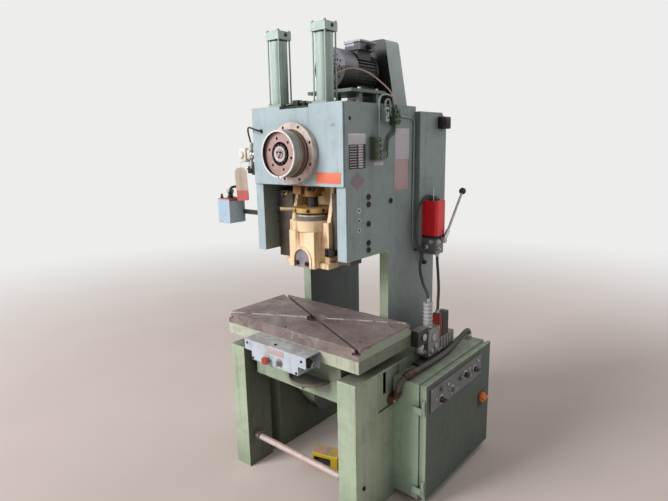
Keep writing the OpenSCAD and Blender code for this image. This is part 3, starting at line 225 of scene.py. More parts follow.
class Finish:
    """One material: a Principled shader and the nodes that feed it."""

    def __init__(self, name, roughness, metallic=0.0):
        self.material = bpy.data.materials.new(name)
        self.material.use_nodes = True
        self.tree = self.material.node_tree
        self.tree.nodes.clear()
        self.shader = self.tree.nodes.new("ShaderNodeBsdfPrincipled")
        self.output = self.tree.nodes.new("ShaderNodeOutputMaterial")
        self.tree.links.new(self.shader.outputs[0], self.output.inputs[0])
        self.shader.inputs["Metallic"].default_value = metallic
        self.shader.inputs["Roughness"].default_value = roughness
        self.place = self.node("ShaderNodeTexCoord", output="Object")

    def node(self, kind, settings=None, inputs=None, output=0):
        """Adds a node, sets it, then feeds its sockets with values or signals."""
        node = self.tree.nodes.new(kind)
        for key, value in (settings or {}).items():
            setattr(node, key, value)
        for key, value in (inputs or {}).items():
            if isinstance(value, Signal):
                self.tree.links.new(value.socket, node.inputs[key])
            else:
                node.inputs[key].default_value = value
        return Signal(self.tree, node.outputs[output])

    def stretched(self, x, y, z):
        """The place, scaled along each axis."""
        return self.node("ShaderNodeVectorMath", {"operation": "MULTIPLY"}, {0: self.place, 1: (x, y, z)})

    def noise(self, scale, detail=3.0, rough=0.55, at=None, warp=0.0):
        return self.node(
            "ShaderNodeTexNoise",
            {"noise_dimensions": "3D"},
            {"Vector": at or self.place, "Scale": scale, "Detail": detail, "Roughness": rough, "Distortion": warp},
        )

    def step(self, signal, low, high):
        """0 below low, 1 above high, smooth between."""
        return self.node(
            "ShaderNodeMapRange",
            {"interpolation_type": "SMOOTHSTEP"},
            {"Value": signal, "From Min": low, "From Max": high},
        )

    def axis(self, letter):
        return self.node("ShaderNodeSeparateXYZ", None, {0: self.place}, letter)

    def mix(self, factor, a, b, way="MIX"):
        """Colour a turning into colour b."""
        return self.node(
            "ShaderNodeMix", {"data_type": "RGBA", "blend_type": way}, {0: factor, 6: a, 7: b}, output=2
        )

    def within(self, spans, soft=0.0006):
        """1 inside a box of spans along X, Y and Z in metres, 0 outside; None leaves a side open."""
        mask = 1.0
        for letter, (start, end) in zip("XYZ", spans):
            place = self.axis(letter) if start is not None or end is not None else None
            if start is not None:
                mask = self.step(place, start - soft, start + soft) * mask
            if end is not None:
                mask = (1.0 - self.step(place, end - soft, end + soft)) * mask
        return mask

    def painted(self, rgb, areas):
        """A plain colour with other colours in some areas."""
        colour = self.node("ShaderNodeRGB")
        colour.socket.default_value = linear(rgb)
        for spans, other in areas:
            colour = self.mix(self.within(spans), colour, linear(other))
        return colour

    def shaded(self, factor, colour, amount):
        """The colour times a grey, by factor."""
        return self.mix(factor, colour, linear((amount, amount, amount)), "MULTIPLY")

    def feed(self, socket, signal):
        self.tree.links.new(signal.socket, self.shader.inputs[socket])

    def soft_edge(self, radius):
        """The normal with edges rounded to radius."""
        return self.node("ShaderNodeBevel", {"samples": 4}, {"Radius": radius})

    def edge_mask(self, radius):
        """1 on sharp edges, 0 on flat faces."""
        rounded = self.soft_edge(radius)
        flat = self.node("ShaderNodeNewGeometry", output="Normal")
        product = {"operation": "DOT_PRODUCT"}
        same = self.node("ShaderNodeVectorMath", product, {0: rounded, 1: flat}, "Value")
        return self.step(1.0 - same, 0.01, 0.14)

    def open_air(self, reach):
        """1 on open faces, lower in corners and hollows, where it gives painted shade and some dirt."""
        return self.node("ShaderNodeAmbientOcclusion", {"samples": 6}, {"Distance": reach}, "AO")

    def upward(self):
        """1 on faces that look up."""
        normal = self.node("ShaderNodeNewGeometry", output="Normal")
        return self.node("ShaderNodeSeparateXYZ", None, {0: normal}, "Z")

    def relief(self, height, strength, distance, edge):
        """Bumps in the surface, on edges rounded to a radius."""
        inputs = {"Height": height, "Strength": strength, "Distance": distance, "Normal": self.soft_edge(edge)}
        self.feed("Normal", self.node("ShaderNodeBump", None, inputs))


def area(rgb, x=(None, None), y=(None, None), z=(None, None)):
    """A box of another colour, by its spans in metres; None leaves a side open."""
    return (x, y, z), rgb


def enamel(name, rgb, grime=0.3, chips=0.4, streaks=0.3, gloss=0.36, edge=None, areas=()):
    """Old brushed enamel: uneven tone, runs of dirt, dust on top, painted shade with some dirt in corners and
    hollows, and chipped edges.
    """
    scene = bpy.context.scene
    f = Finish(name, roughness=gloss)
    broad = f.noise(2.3, 2.0)
    mottle = f.noise(17.0, 5.0, 0.65)
    runs = f.noise(1.0, 4.0, 0.6, at=f.stretched(38, 38, 2.6))
    speck = f.noise(110.0, 2.0)
    colour = f.painted(rgb, areas)
    colour = f.shaded(1.0 - f.step(broad, 0.3, 0.72), colour, 0.93)
    colour = f.shaded(f.step(mottle, 0.45, 0.75) * 0.35, colour, 0.84)
    dirt = f.step(runs + mottle * 0.35, 0.66, 0.95) * streaks
    colour = f.shaded(dirt, colour, 0.62)
    low = f.step(f.noise(5.0, 6.0, 0.7, warp=0.6), 0.52, 0.72) * grime
    colour = f.mix(low, colour, linear(DIRT))
    dust = f.step(f.upward(), 0.7, 0.97) * f.step(mottle, 0.25, 0.6) * 0.6
    colour = f.mix(dust, colour, linear(DUST))
    # Painted shade with some dirt: darker in corners and hollows, where the ambient occlusion is low
    colour = f.shaded((1.0 - f.open_air(0.22)) * 0.75, colour, 0.40)
    edges = f.edge_mask(0.004) * f.step(mottle * 0.7 + speck * 0.5, 0.55, 0.7)
    spots = f.step(f.noise(26.0, 8.0, 0.72), 0.70, 0.735)
    bare = edges.highest(spots) * chips
    colour = f.mix(bare, colour, linear(shade(scene.press_paints.rust, 0.9)))
    f.feed("Base Color", colour)
    f.feed("Roughness", gloss + mottle * 0.22 + bare * 0.25 + dust * 0.3)
    height = f.noise(240.0, 2.0) * 0.16 + mottle * 0.5 - bare * 0.8
    f.relief(height, 0.22, 0.0012, edge or scene.press_detail.edge)
    return f.material


def machined(name, rgb, stain=0.3, roughness=0.32, metallic=1.0):
    """Turned or milled steel with fine tool marks, stains and a little rust."""
    f = Finish(name, metallic=metallic, roughness=roughness)
    mottle = f.noise(24.0, 6.0, 0.7)
    fine = f.noise(1.0, 2.0, at=f.stretched(900, 60, 900))
    colour = f.mix(f.step(mottle, 0.35, 0.7), linear(rgb), linear(shade(rgb, 0.78)))
    rust = f.step(f.noise(14.0, 7.0, 0.72, warp=0.8), 0.55, 0.74) * stain
    colour = f.mix(rust, colour, linear(STEEL_RUST))
    f.feed("Base Color", colour)
    f.feed("Metallic", metallic * (1.0 - rust * 0.6))
    f.feed("Roughness", roughness + mottle * 0.2 + rust * 0.3)
    f.relief(fine * 0.4 + mottle * 0.5, 0.12, 0.0006, SMALL_EDGE)
    return f.material


def moulded(name, rgb, roughness=0.45, dust=0.25):
    """Moulded plastic or rubber with a fine grain and some dust."""
    f = Finish(name, roughness=roughness)
    mottle = f.noise(40.0, 4.0, 0.6)
    colour = f.mix(f.step(mottle, 0.4, 0.8) * dust, linear(rgb), linear((0.50, 0.47, 0.43)))
    f.feed("Base Color", colour)
    f.feed("Roughness", roughness + mottle * 0.18)
    f.relief(f.noise(700.0, 1.0) * 0.5 + mottle * 0.3, 0.12, 0.0005, SMALL_EDGE)
    return f.material


def drum_metal(name, centre_z, front, rim, ring):
    """The stroke drum: a bright rim, a cup painted dark as shade on the rim's inner wall and in the hollow, a
    stained ring round the hollow, and a bare side.
    """
    f = Finish(name, roughness=0.42)
    across, height, along = f.axis("X"), f.axis("Z") - centre_z, f.axis("Y")
    radius = (across * across + height * height) ** 0.5
    face = 1.0 - f.step(along, front + 0.003, front + 0.005)
    mottle = f.noise(30.0, 6.0, 0.7)
    side = f.mix(f.step(f.noise(1.0, 3.0, at=f.stretched(8, 220, 8)), 0.4, 0.7), linear((0.66, 0.67, 0.64)),
                 linear((0.47, 0.45, 0.42)))
    side = f.mix(f.step(along, front + 0.046, front + 0.052) * 0.8, side, linear((0.56, 0.47, 0.39)))
    colour = f.mix(face, side, linear((0.90, 0.88, 0.88)))
    # Painted shade: the cup inside the rim is dark wherever the inner ring doesn't cover it
    cup = 1.0 - f.step(radius, rim, rim + 0.001)
    colour = f.mix(cup, colour, linear((0.16, 0.13, 0.12)))
    inner = cup * f.step(along, front + 0.0155, front + 0.0158) * f.step(radius, ring, ring + 0.001)
    colour = f.mix(inner, colour, linear((0.68, 0.56, 0.54)))
    stain = f.step(mottle, 0.5, 0.72) * 0.45
    colour = f.mix(stain, colour, linear((0.47, 0.36, 0.30)))
    f.feed("Base Color", colour)
    f.feed("Metallic", (1.0 - face) * 0.55)
    f.feed("Roughness", 0.34 + mottle * 0.25)
    f.relief(mottle, 0.15, 0.0008, 0.0015)
    return f.material


def worn_plate(name):
    """The bolster's top: milled steel gone brown, with rust, rings and scratches."""
    f = Finish(name, metallic=0.55, roughness=0.5)
    mottle = f.noise(9.0, 8.0, 0.72, warp=0.7)
    fine = f.noise(85.0, 5.0, 0.7)
    scratch = f.step(f.noise(1.0, 3.0, 0.6, at=f.stretched(260, 22, 30), warp=0.4), 0.66, 0.74)
    colour = f.mix(f.step(mottle, 0.32, 0.66), linear((0.63, 0.57, 0.57)), linear((0.46, 0.39, 0.38)))
    colour = f.mix(f.step(fine, 0.5, 0.75) * 0.5, colour, linear((0.36, 0.29, 0.27)))
    colour = f.mix(f.step(f.noise(3.0, 3.0), 0.5, 0.7) * 0.4, colour, linear((0.72, 0.66, 0.65)))
    colour = f.mix(scratch * 0.5, colour, linear((0.78, 0.74, 0.71)))
    ragged = f.noise(22.0, 5.0, 0.7)
    below = 1.0 - f.step(f.axis("Z") + (ragged - 0.5) * 0.03, 0.787, 0.793)
    right = f.step(f.axis("X"), 0.4024, 0.4028) * below
    front = (1.0 - f.step(f.axis("Y"), -0.4048, -0.4044)) * f.step(ragged, 0.56, 0.62) * 0.55
    green = linear(shade(bpy.context.scene.press_paints.base, 0.92))
    colour = f.mix((right + front) * 0.95, colour, green)
    corner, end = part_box("bolster")
    middle, span = (corner.y + end.y) / 2, end - corner
    turn = math.atan2(span.y, span.x)
    across = (f.axis("Y") - middle) * math.cos(turn) - f.axis("X") * math.sin(turn)
    # Painted highlight on one wall of each T slot and a thin line on the top beside it, partly a worn edge
    lit = f.step(across, SLOT_HALF - 0.0012, SLOT_HALF - 0.0006)
    lit = lit * (1.0 - f.step(across, SLOT_HALF + 0.0008, SLOT_HALF + 0.002))
    lit = lit * f.step(f.axis("Z"), end.z - 0.013, end.z - 0.010) * f.step(ragged, 0.36, 0.5)
    colour = f.mix(lit * 0.9, colour, linear((0.88, 0.85, 0.84)))
    f.feed("Base Color", colour)
    f.feed("Metallic", (0.45 - f.step(mottle, 0.4, 0.7) * 0.3) * (1.0 - right))
    f.feed("Roughness", 0.36 + fine * 0.3 + mottle * 0.1)
    f.relief(fine * 0.5 + mottle * 0.6 - scratch * 0.4, 0.3, 0.001, 0.0018)
    return f.material


def ram_enamel(name, rgb):
    """Cream enamel on a casting, with oily and rusty runs."""
    paints = bpy.context.scene.press_paints
    f = Finish(name, roughness=0.4)
    mottle = f.noise(13.0, 6.0, 0.68)
    runs = f.noise(1.0, 5.0, 0.62, at=f.stretched(30, 30, 3.2))
    colour = f.mix(f.step(f.noise(3.0, 2.0), 0.35, 0.7), linear(shade(rgb, 0.93)), linear(shade(rgb, 1.03)))
    colour = f.mix(f.step(runs + mottle * 0.3, 0.62, 0.84) * 0.75, colour, linear((0.74, 0.55, 0.32)))
    colour = f.mix(f.step(runs * 0.7 + mottle * 0.5, 0.68, 0.82) * 0.8, colour, linear((0.45, 0.29, 0.17)))
    edges = f.edge_mask(0.004) * f.step(mottle, 0.4, 0.6)
    spots = f.step(f.noise(30.0, 8.0, 0.74), 0.67, 0.71)
    bare = edges.highest(spots) * 0.8
    colour = f.mix(bare, colour, linear(shade(paints.rust, 0.8)))
    f.feed("Base Color", colour)
    f.feed("Roughness", 0.34 + mottle * 0.25 + bare * 0.25)
    f.relief(f.noise(150.0, 3.0) * 0.4 + mottle * 0.7 - bare * 0.7, 0.35, 0.0014, 0.0025)
    return f.material


def seen(tree):
    """1 where the camera looks straight at a thing, or at it in metal or glass, and 0 for its light."""
    path = tree.nodes.new("ShaderNodeLightPath")
    straight, *others = (Signal(tree, path.outputs[kind]) for kind in SEEN_RAYS)
    for other in others:
        straight = straight.highest(other)
    return straight


def blended(tree, factor, first, second, output):
    """Leads a mix of two shaders into the output."""
    blend = tree.nodes.new("ShaderNodeMixShader")
    for socket, slot in zip((factor.socket, first, second), blend.inputs):
        tree.links.new(socket, slot)
    tree.links.new(blend.outputs[0], output.inputs[0])


# Mesh tools


def circle(count):
    """Cosines and sines of equal steps round a circle."""
    return [(math.cos(t), math.sin(t)) for t in (2 * math.pi * i / count for i in range(count))]


def rotation_to(axis):
    """Turns +Z to the given axis."""
    return Vector((0, 0, 1)).rotation_difference(Vector(axis)).to_matrix().to_4x4()


def block(bm, low, high, bevel):
    """A box between two corners, its edges broken by bevel."""
    made = bmesh.ops.create_cube(bm, size=1.0)["verts"]
    bmesh.ops.scale(bm, vec=high - low, verts=made)
    bmesh.ops.translate(bm, vec=(low + high) / 2, verts=made)
    edges = {e for v in made for e in v.link_edges}
    bmesh.ops.bevel(bm, geom=list(edges), offset=bevel, segments=3, profile=0.5, affect="EDGES")


def spun(foot, *steps, top=None):
    """The profile of a solid turned part: the radius of its foot, then (radius, height) steps up to its top."""
    return [(0, 0), (foot, 0), *steps, (0, steps[-1][1] if top is None else top)]


def disc(radius, height, edge=0.6, inner=0.0):
    """The profile of a disc or a ring with broken edges."""
    rim = [(radius, 0), (radius, height - edge), (radius - edge, height)]
    return [(inner, 0), *rim, (inner, height), (inner, 0)]


def turned(bm, profile, centre, axis, sides):
    """A solid of revolution: profile is (radius, height) pairs along the axis."""
    place = Matrix.Translation(Vector(centre)) @ rotation_to(axis)
    rings = []
    for radius, height in profile:
        around = circle(sides) if radius else [(0, 0)]
        rings.append([bm.verts.new(place @ Vector((radius * c, radius * s, height))) for c, s in around])
    for a, b in zip(rings, rings[1:]):
        for i in range(sides):
            j = (i + 1) % sides
            if len(a) == 1 and len(b) == 1:
                continue
            if len(a) == 1:
                bm.faces.new((a[0], b[i], b[j]))
            elif len(b) == 1:
                bm.faces.new((a[j], a[i], b[0]))
            else:
                bm.faces.new((a[j], a[i], b[i], b[j]))


def prism(bm, outline, place, depth, bevel=0.0):
    """An outline of (x, y) points pushed along z by depth, put in place by a matrix."""
    base = [bm.verts.new(Vector((x, y, 0))) for x, y in outline]
    face = bm.faces.new(base)
    pushed = bmesh.ops.extrude_face_region(bm, geom=[face])["geom"]
    top = [v for v in pushed if isinstance(v, bmesh.types.BMVert)]
    bmesh.ops.translate(bm, vec=(0, 0, depth), verts=top)
    made = base + top
    if bevel:
        edges = {e for v in made for e in v.link_edges}
        result = bmesh.ops.bevel(bm, geom=list(edges), offset=bevel, segments=2, profile=0.5, affect="EDGES")
        made = list({*result["verts"], *(v for v in made if v.is_valid)})
    bmesh.ops.transform(bm, matrix=place, verts=made)


def hex_bolt(bm, centre, axis, radius, height):
    """A hexagon head on a washer."""
    place = Matrix.Translation(Vector(centre)) @ rotation_to(axis)
    washer = height * 0.22
    turned(bm, spun(radius * 1.25, (radius * 1.25, washer)), centre, axis, 24)
    hexagon = [(radius * c, radius * s) for c, s in circle(6)]
    prism(bm, hexagon, place @ Matrix.Translation((0, 0, washer)), height - washer, radius * 0.09)


def cap_screw(bm, centre, axis, radius, height):
    """A round head with a hexagon socket."""
    r, h = radius, height
    profile = spun(r, (r, h * 0.85), (r * 0.9, h), (r * 0.55, h), (r * 0.5, h * 0.45))
    turned(bm, profile, centre, axis, 18)


def tube(bm, points, radius, sides=12, swell=None):
    """A round tube along points in metres; swell(i) scales the radius of ring i."""
    rings, side = [], None
    for i, p in enumerate(points):
        ahead = (points[min(i + 1, len(points) - 1)] - points[max(i - 1, 0)]).normalized()
        if side is None:
            side = ahead.orthogonal().normalized()
        side = (side - ahead * side.dot(ahead)).normalized()
        other = ahead.cross(side)
        reach = radius * (swell(i) if swell else 1)
        rings.append([bm.verts.new(p + (side * c + other * s) * reach) for c, s in circle(sides)])
    for a, b in zip(rings, rings[1:]):
        for k in range(sides):
            j = (k + 1) % sides
            bm.faces.new((a[k], a[j], b[j], b[k]))
    bm.faces.new(rings[0][::-1])
    bm.faces.new(rings[-1])


def smooth_route(points, steps=8):
    """A smooth curve through the points."""
    line = []
    for i in range(len(points) - 1):
        a, b = points[max(i - 1, 0)], points[i]
        c, d = points[i + 1], points[min(i + 2, len(points) - 1)]
        for k in range(steps):
            t = k / steps
            curve = (c - a) * t + (2 * a - 5 * b + 4 * c - d) * t * t + (3 * b - a - 3 * c + d) * t**3
            line.append(b + curve / 2)
    return line + [points[-1]]


def even_route(line, count):
    """The line's course again in count equal steps."""
    along = [0.0]
    for a, b in zip(line, line[1:]):
        along.append(along[-1] + (b - a).length)
    points = []
    for i in range(count + 1):
        target = along[-1] * i / count
        k = min(max(j for j, walked in enumerate(along) if walked <= target + 1e-9), len(line) - 2)
        points.append(line[k].lerp(line[k + 1], (target - along[k]) / (along[k + 1] - along[k])))
    return points


def bent_route(points, radius, steps=6):
    """Straight runs with bends of the given radius, as a formed metal pipe has."""
    line = [points[0]]
    for a, b, c in zip(points, points[1:], points[2:]):
        back, ahead = a - b, c - b
        cut = min(radius, back.length * 0.45, ahead.length * 0.45)
        start, end = b + back.normalized() * cut, b + ahead.normalized() * cut
        for k in range(steps + 1):
            t = k / steps
            line.append(start * (1 - t) ** 2 + b * 2 * t * (1 - t) + end * t * t)
    return line + [points[-1]]


def piece(name, body, finish, build):
    """Makes one piece from a function that fills a mesh, in a named finish, and lets it ride on a body."""
    mesh = bpy.data.meshes.new(name)
    bm = bmesh.new()
    build(bm)
    bmesh.ops.remove_doubles(bm, verts=bm.verts, dist=1e-6)
    bmesh.ops.recalc_face_normals(bm, faces=bm.faces)
    for face in bm.faces:
        face.smooth = True
    for edge in bm.edges:
        edge.smooth = len(edge.link_faces) == 2 and edge.calc_face_angle() < CREASE
    bm.to_mesh(mesh)
    bm.free()
    mesh.materials.append(bpy.data.materials[finish])
    made = bpy.data.objects.new(name, mesh)
    bpy.context.scene.collection.objects.link(made)
    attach(made, body)
    return made


def corners(node):
    """The two corners of a CAD part's box, in millimetres."""
    return [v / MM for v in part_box(node)]


def blocks(name, boxes, finish, body="frame", bevel=0.8, place=None):
    """One piece of boxes, each given by two corners in millimetres, all moved by place."""

    def build(bm):
        for low, high in boxes:
            block(bm, mm(*low), mm(*high), bevel * MM)
        if place:
            bm.transform(place)

    return piece(name, body, finish, build)


def fasteners(name, places, axis, radius, height, finish, body="frame", kind=hex_bolt):
    """One piece of equal bolts or screws that stand on a face along axis, in millimetres."""

    def build(bm):
        for place in places:
            kind(bm, mm(*place), axis, radius * MM, height * MM)

    return piece(name, body, finish, build)


def turnings(name, parts, finish, body="frame", sides=32):
    """One piece of turned parts: (centre, axis, [(radius, height) ...]) in millimetres."""

    def build(bm):
        for centre, axis, profile in parts:
            turned(bm, [(r * MM, h * MM) for r, h in profile], mm(*centre), axis, sides)

    return piece(name, body, finish, build)


def pipes(name, routes, radius, finish, body="frame", bend=14, sides=10):
    """One piece of bent metal pipes through points in millimetres."""

    def build(bm):
        for route in routes:
            tube(bm, bent_route([mm(*p) for p in route], bend * MM), radius * MM, sides)

    return piece(name, body, finish, build)


def hose(name, points, radius, finish, ribbed=False):
    """A hose or a ribbed conduit through points in millimetres, its ribs spaced along the length of its own line.
    """
    line = smooth_route([mm(*p) for p in points])
    length = sum((b - a).length for a, b in zip(line, line[1:]))

    def build(bm):
        if ribbed:
            tube(bm, even_route(line, int(length / RIB)), radius * MM, 16, lambda i: 1.0 if i % 2 else 0.9)
        else:
            tube(bm, line, radius * MM)

    made = piece(name, "frame", finish, build)
    return made


# Operators


class PRESS_OT_stage(bpy.types.Operator):
    """Adds the camera, the floor, the room and the lamps"""

    bl_idname = "press.stage"
    bl_label = "Stage"

    def execute(self, context):
        stage = context.scene.press_stage
        yaw, pitch, roll = stage.turn
        ahead = Vector((-math.sin(yaw) * math.cos(pitch), math.cos(yaw) * math.cos(pitch), math.sin(pitch)))
        right = Vector((math.cos(yaw), math.sin(yaw), 0))
        up = right.cross(ahead)
        cosine, sine = math.cos(roll), math.sin(roll)
        right, up = cosine * right + sine * up, cosine * up - sine * right
        data = bpy.data.cameras.new("photo_camera")
        data.sensor_width = 36.0
        data.lens = stage.focal
        camera = bpy.data.objects.new("photo_camera", data)
        turn = Matrix((right, up, -ahead)).transposed().to_4x4()
        camera.matrix_world = Matrix.Translation(Vector(stage.spot)) @ turn
        context.scene.collection.objects.link(camera)
        context.scene.camera = camera

        floor = Finish("floor_concrete", roughness=0.85)
        light, dark = linear(shade(stage.floor, 1.03)), linear(shade(stage.floor, 0.97))
        floor.feed("Base Color", floor.mix(floor.noise(1.3, 3.0), dark, light))
        x, y = floor.axis("X"), floor.axis("Y")
        away = floor.step((x * x + y * y) ** 0.5, 1.6, 7.0)
        glow = floor.node("ShaderNodeEmission", None, {"Color": linear(stage.backdrop), "Strength": 1.0})
        blended(floor.tree, away * seen(floor.tree), floor.shader.outputs[0], glow.socket, floor.output)
        mesh = bpy.data.meshes.new("floor")
        bm = bmesh.new()
        bmesh.ops.create_circle(bm, cap_ends=True, segments=64, radius=30.0)
        bm.to_mesh(mesh)
        bm.free()
        mesh.materials.append(floor.material)
        ground = bpy.data.objects.new("floor", mesh)
        context.scene.collection.objects.link(ground)

        world = bpy.data.worlds.new("room")
        world.use_nodes = True
        tree = world.node_tree
        tree.nodes.clear()
        shaders = []
        for rgb, strength in (((1.0, 1.0, 1.0, 1.0), stage.sky), (linear(stage.backdrop), 1.0)):
            light = tree.nodes.new("ShaderNodeBackground")
            light.inputs["Color"].default_value = rgb
            light.inputs["Strength"].default_value = strength
            shaders.append(light.outputs[0])
        blended(tree, seen(tree), *shaders, tree.nodes.new("ShaderNodeOutputWorld"))
        context.scene.world = world

        for name, spot, aim, size, power in (
            ("key_lamp", (-4.2, -8.6, 6.0), (0.0, 0.0, 0.95), 4.5, stage.key),
            ("fill_lamp", (8.0, -3.5, 5.0), (0.0, 0.0, 1.0), 5.0, stage.key * 0.035),
            ("back_lamp", (3.0, 8.0, 6.5), (0.0, 0.0, 1.2), 5.0, stage.key * 0.22),
        ):
            data = bpy.data.lights.new(name, "AREA")
            data.shape = "SQUARE"
            data.size = size
            data.energy = power
            lamp = bpy.data.objects.new(name, data)
            lamp.location = spot
            lamp.rotation_mode = "QUATERNION"
            lamp.rotation_quaternion = (Vector(spot) - Vector(aim)).to_track_quat("Z", "Y")
            context.scene.collection.objects.link(lamp)
        context.scene.view_settings.view_transform = "Standard"
        return {"FINISHED"}


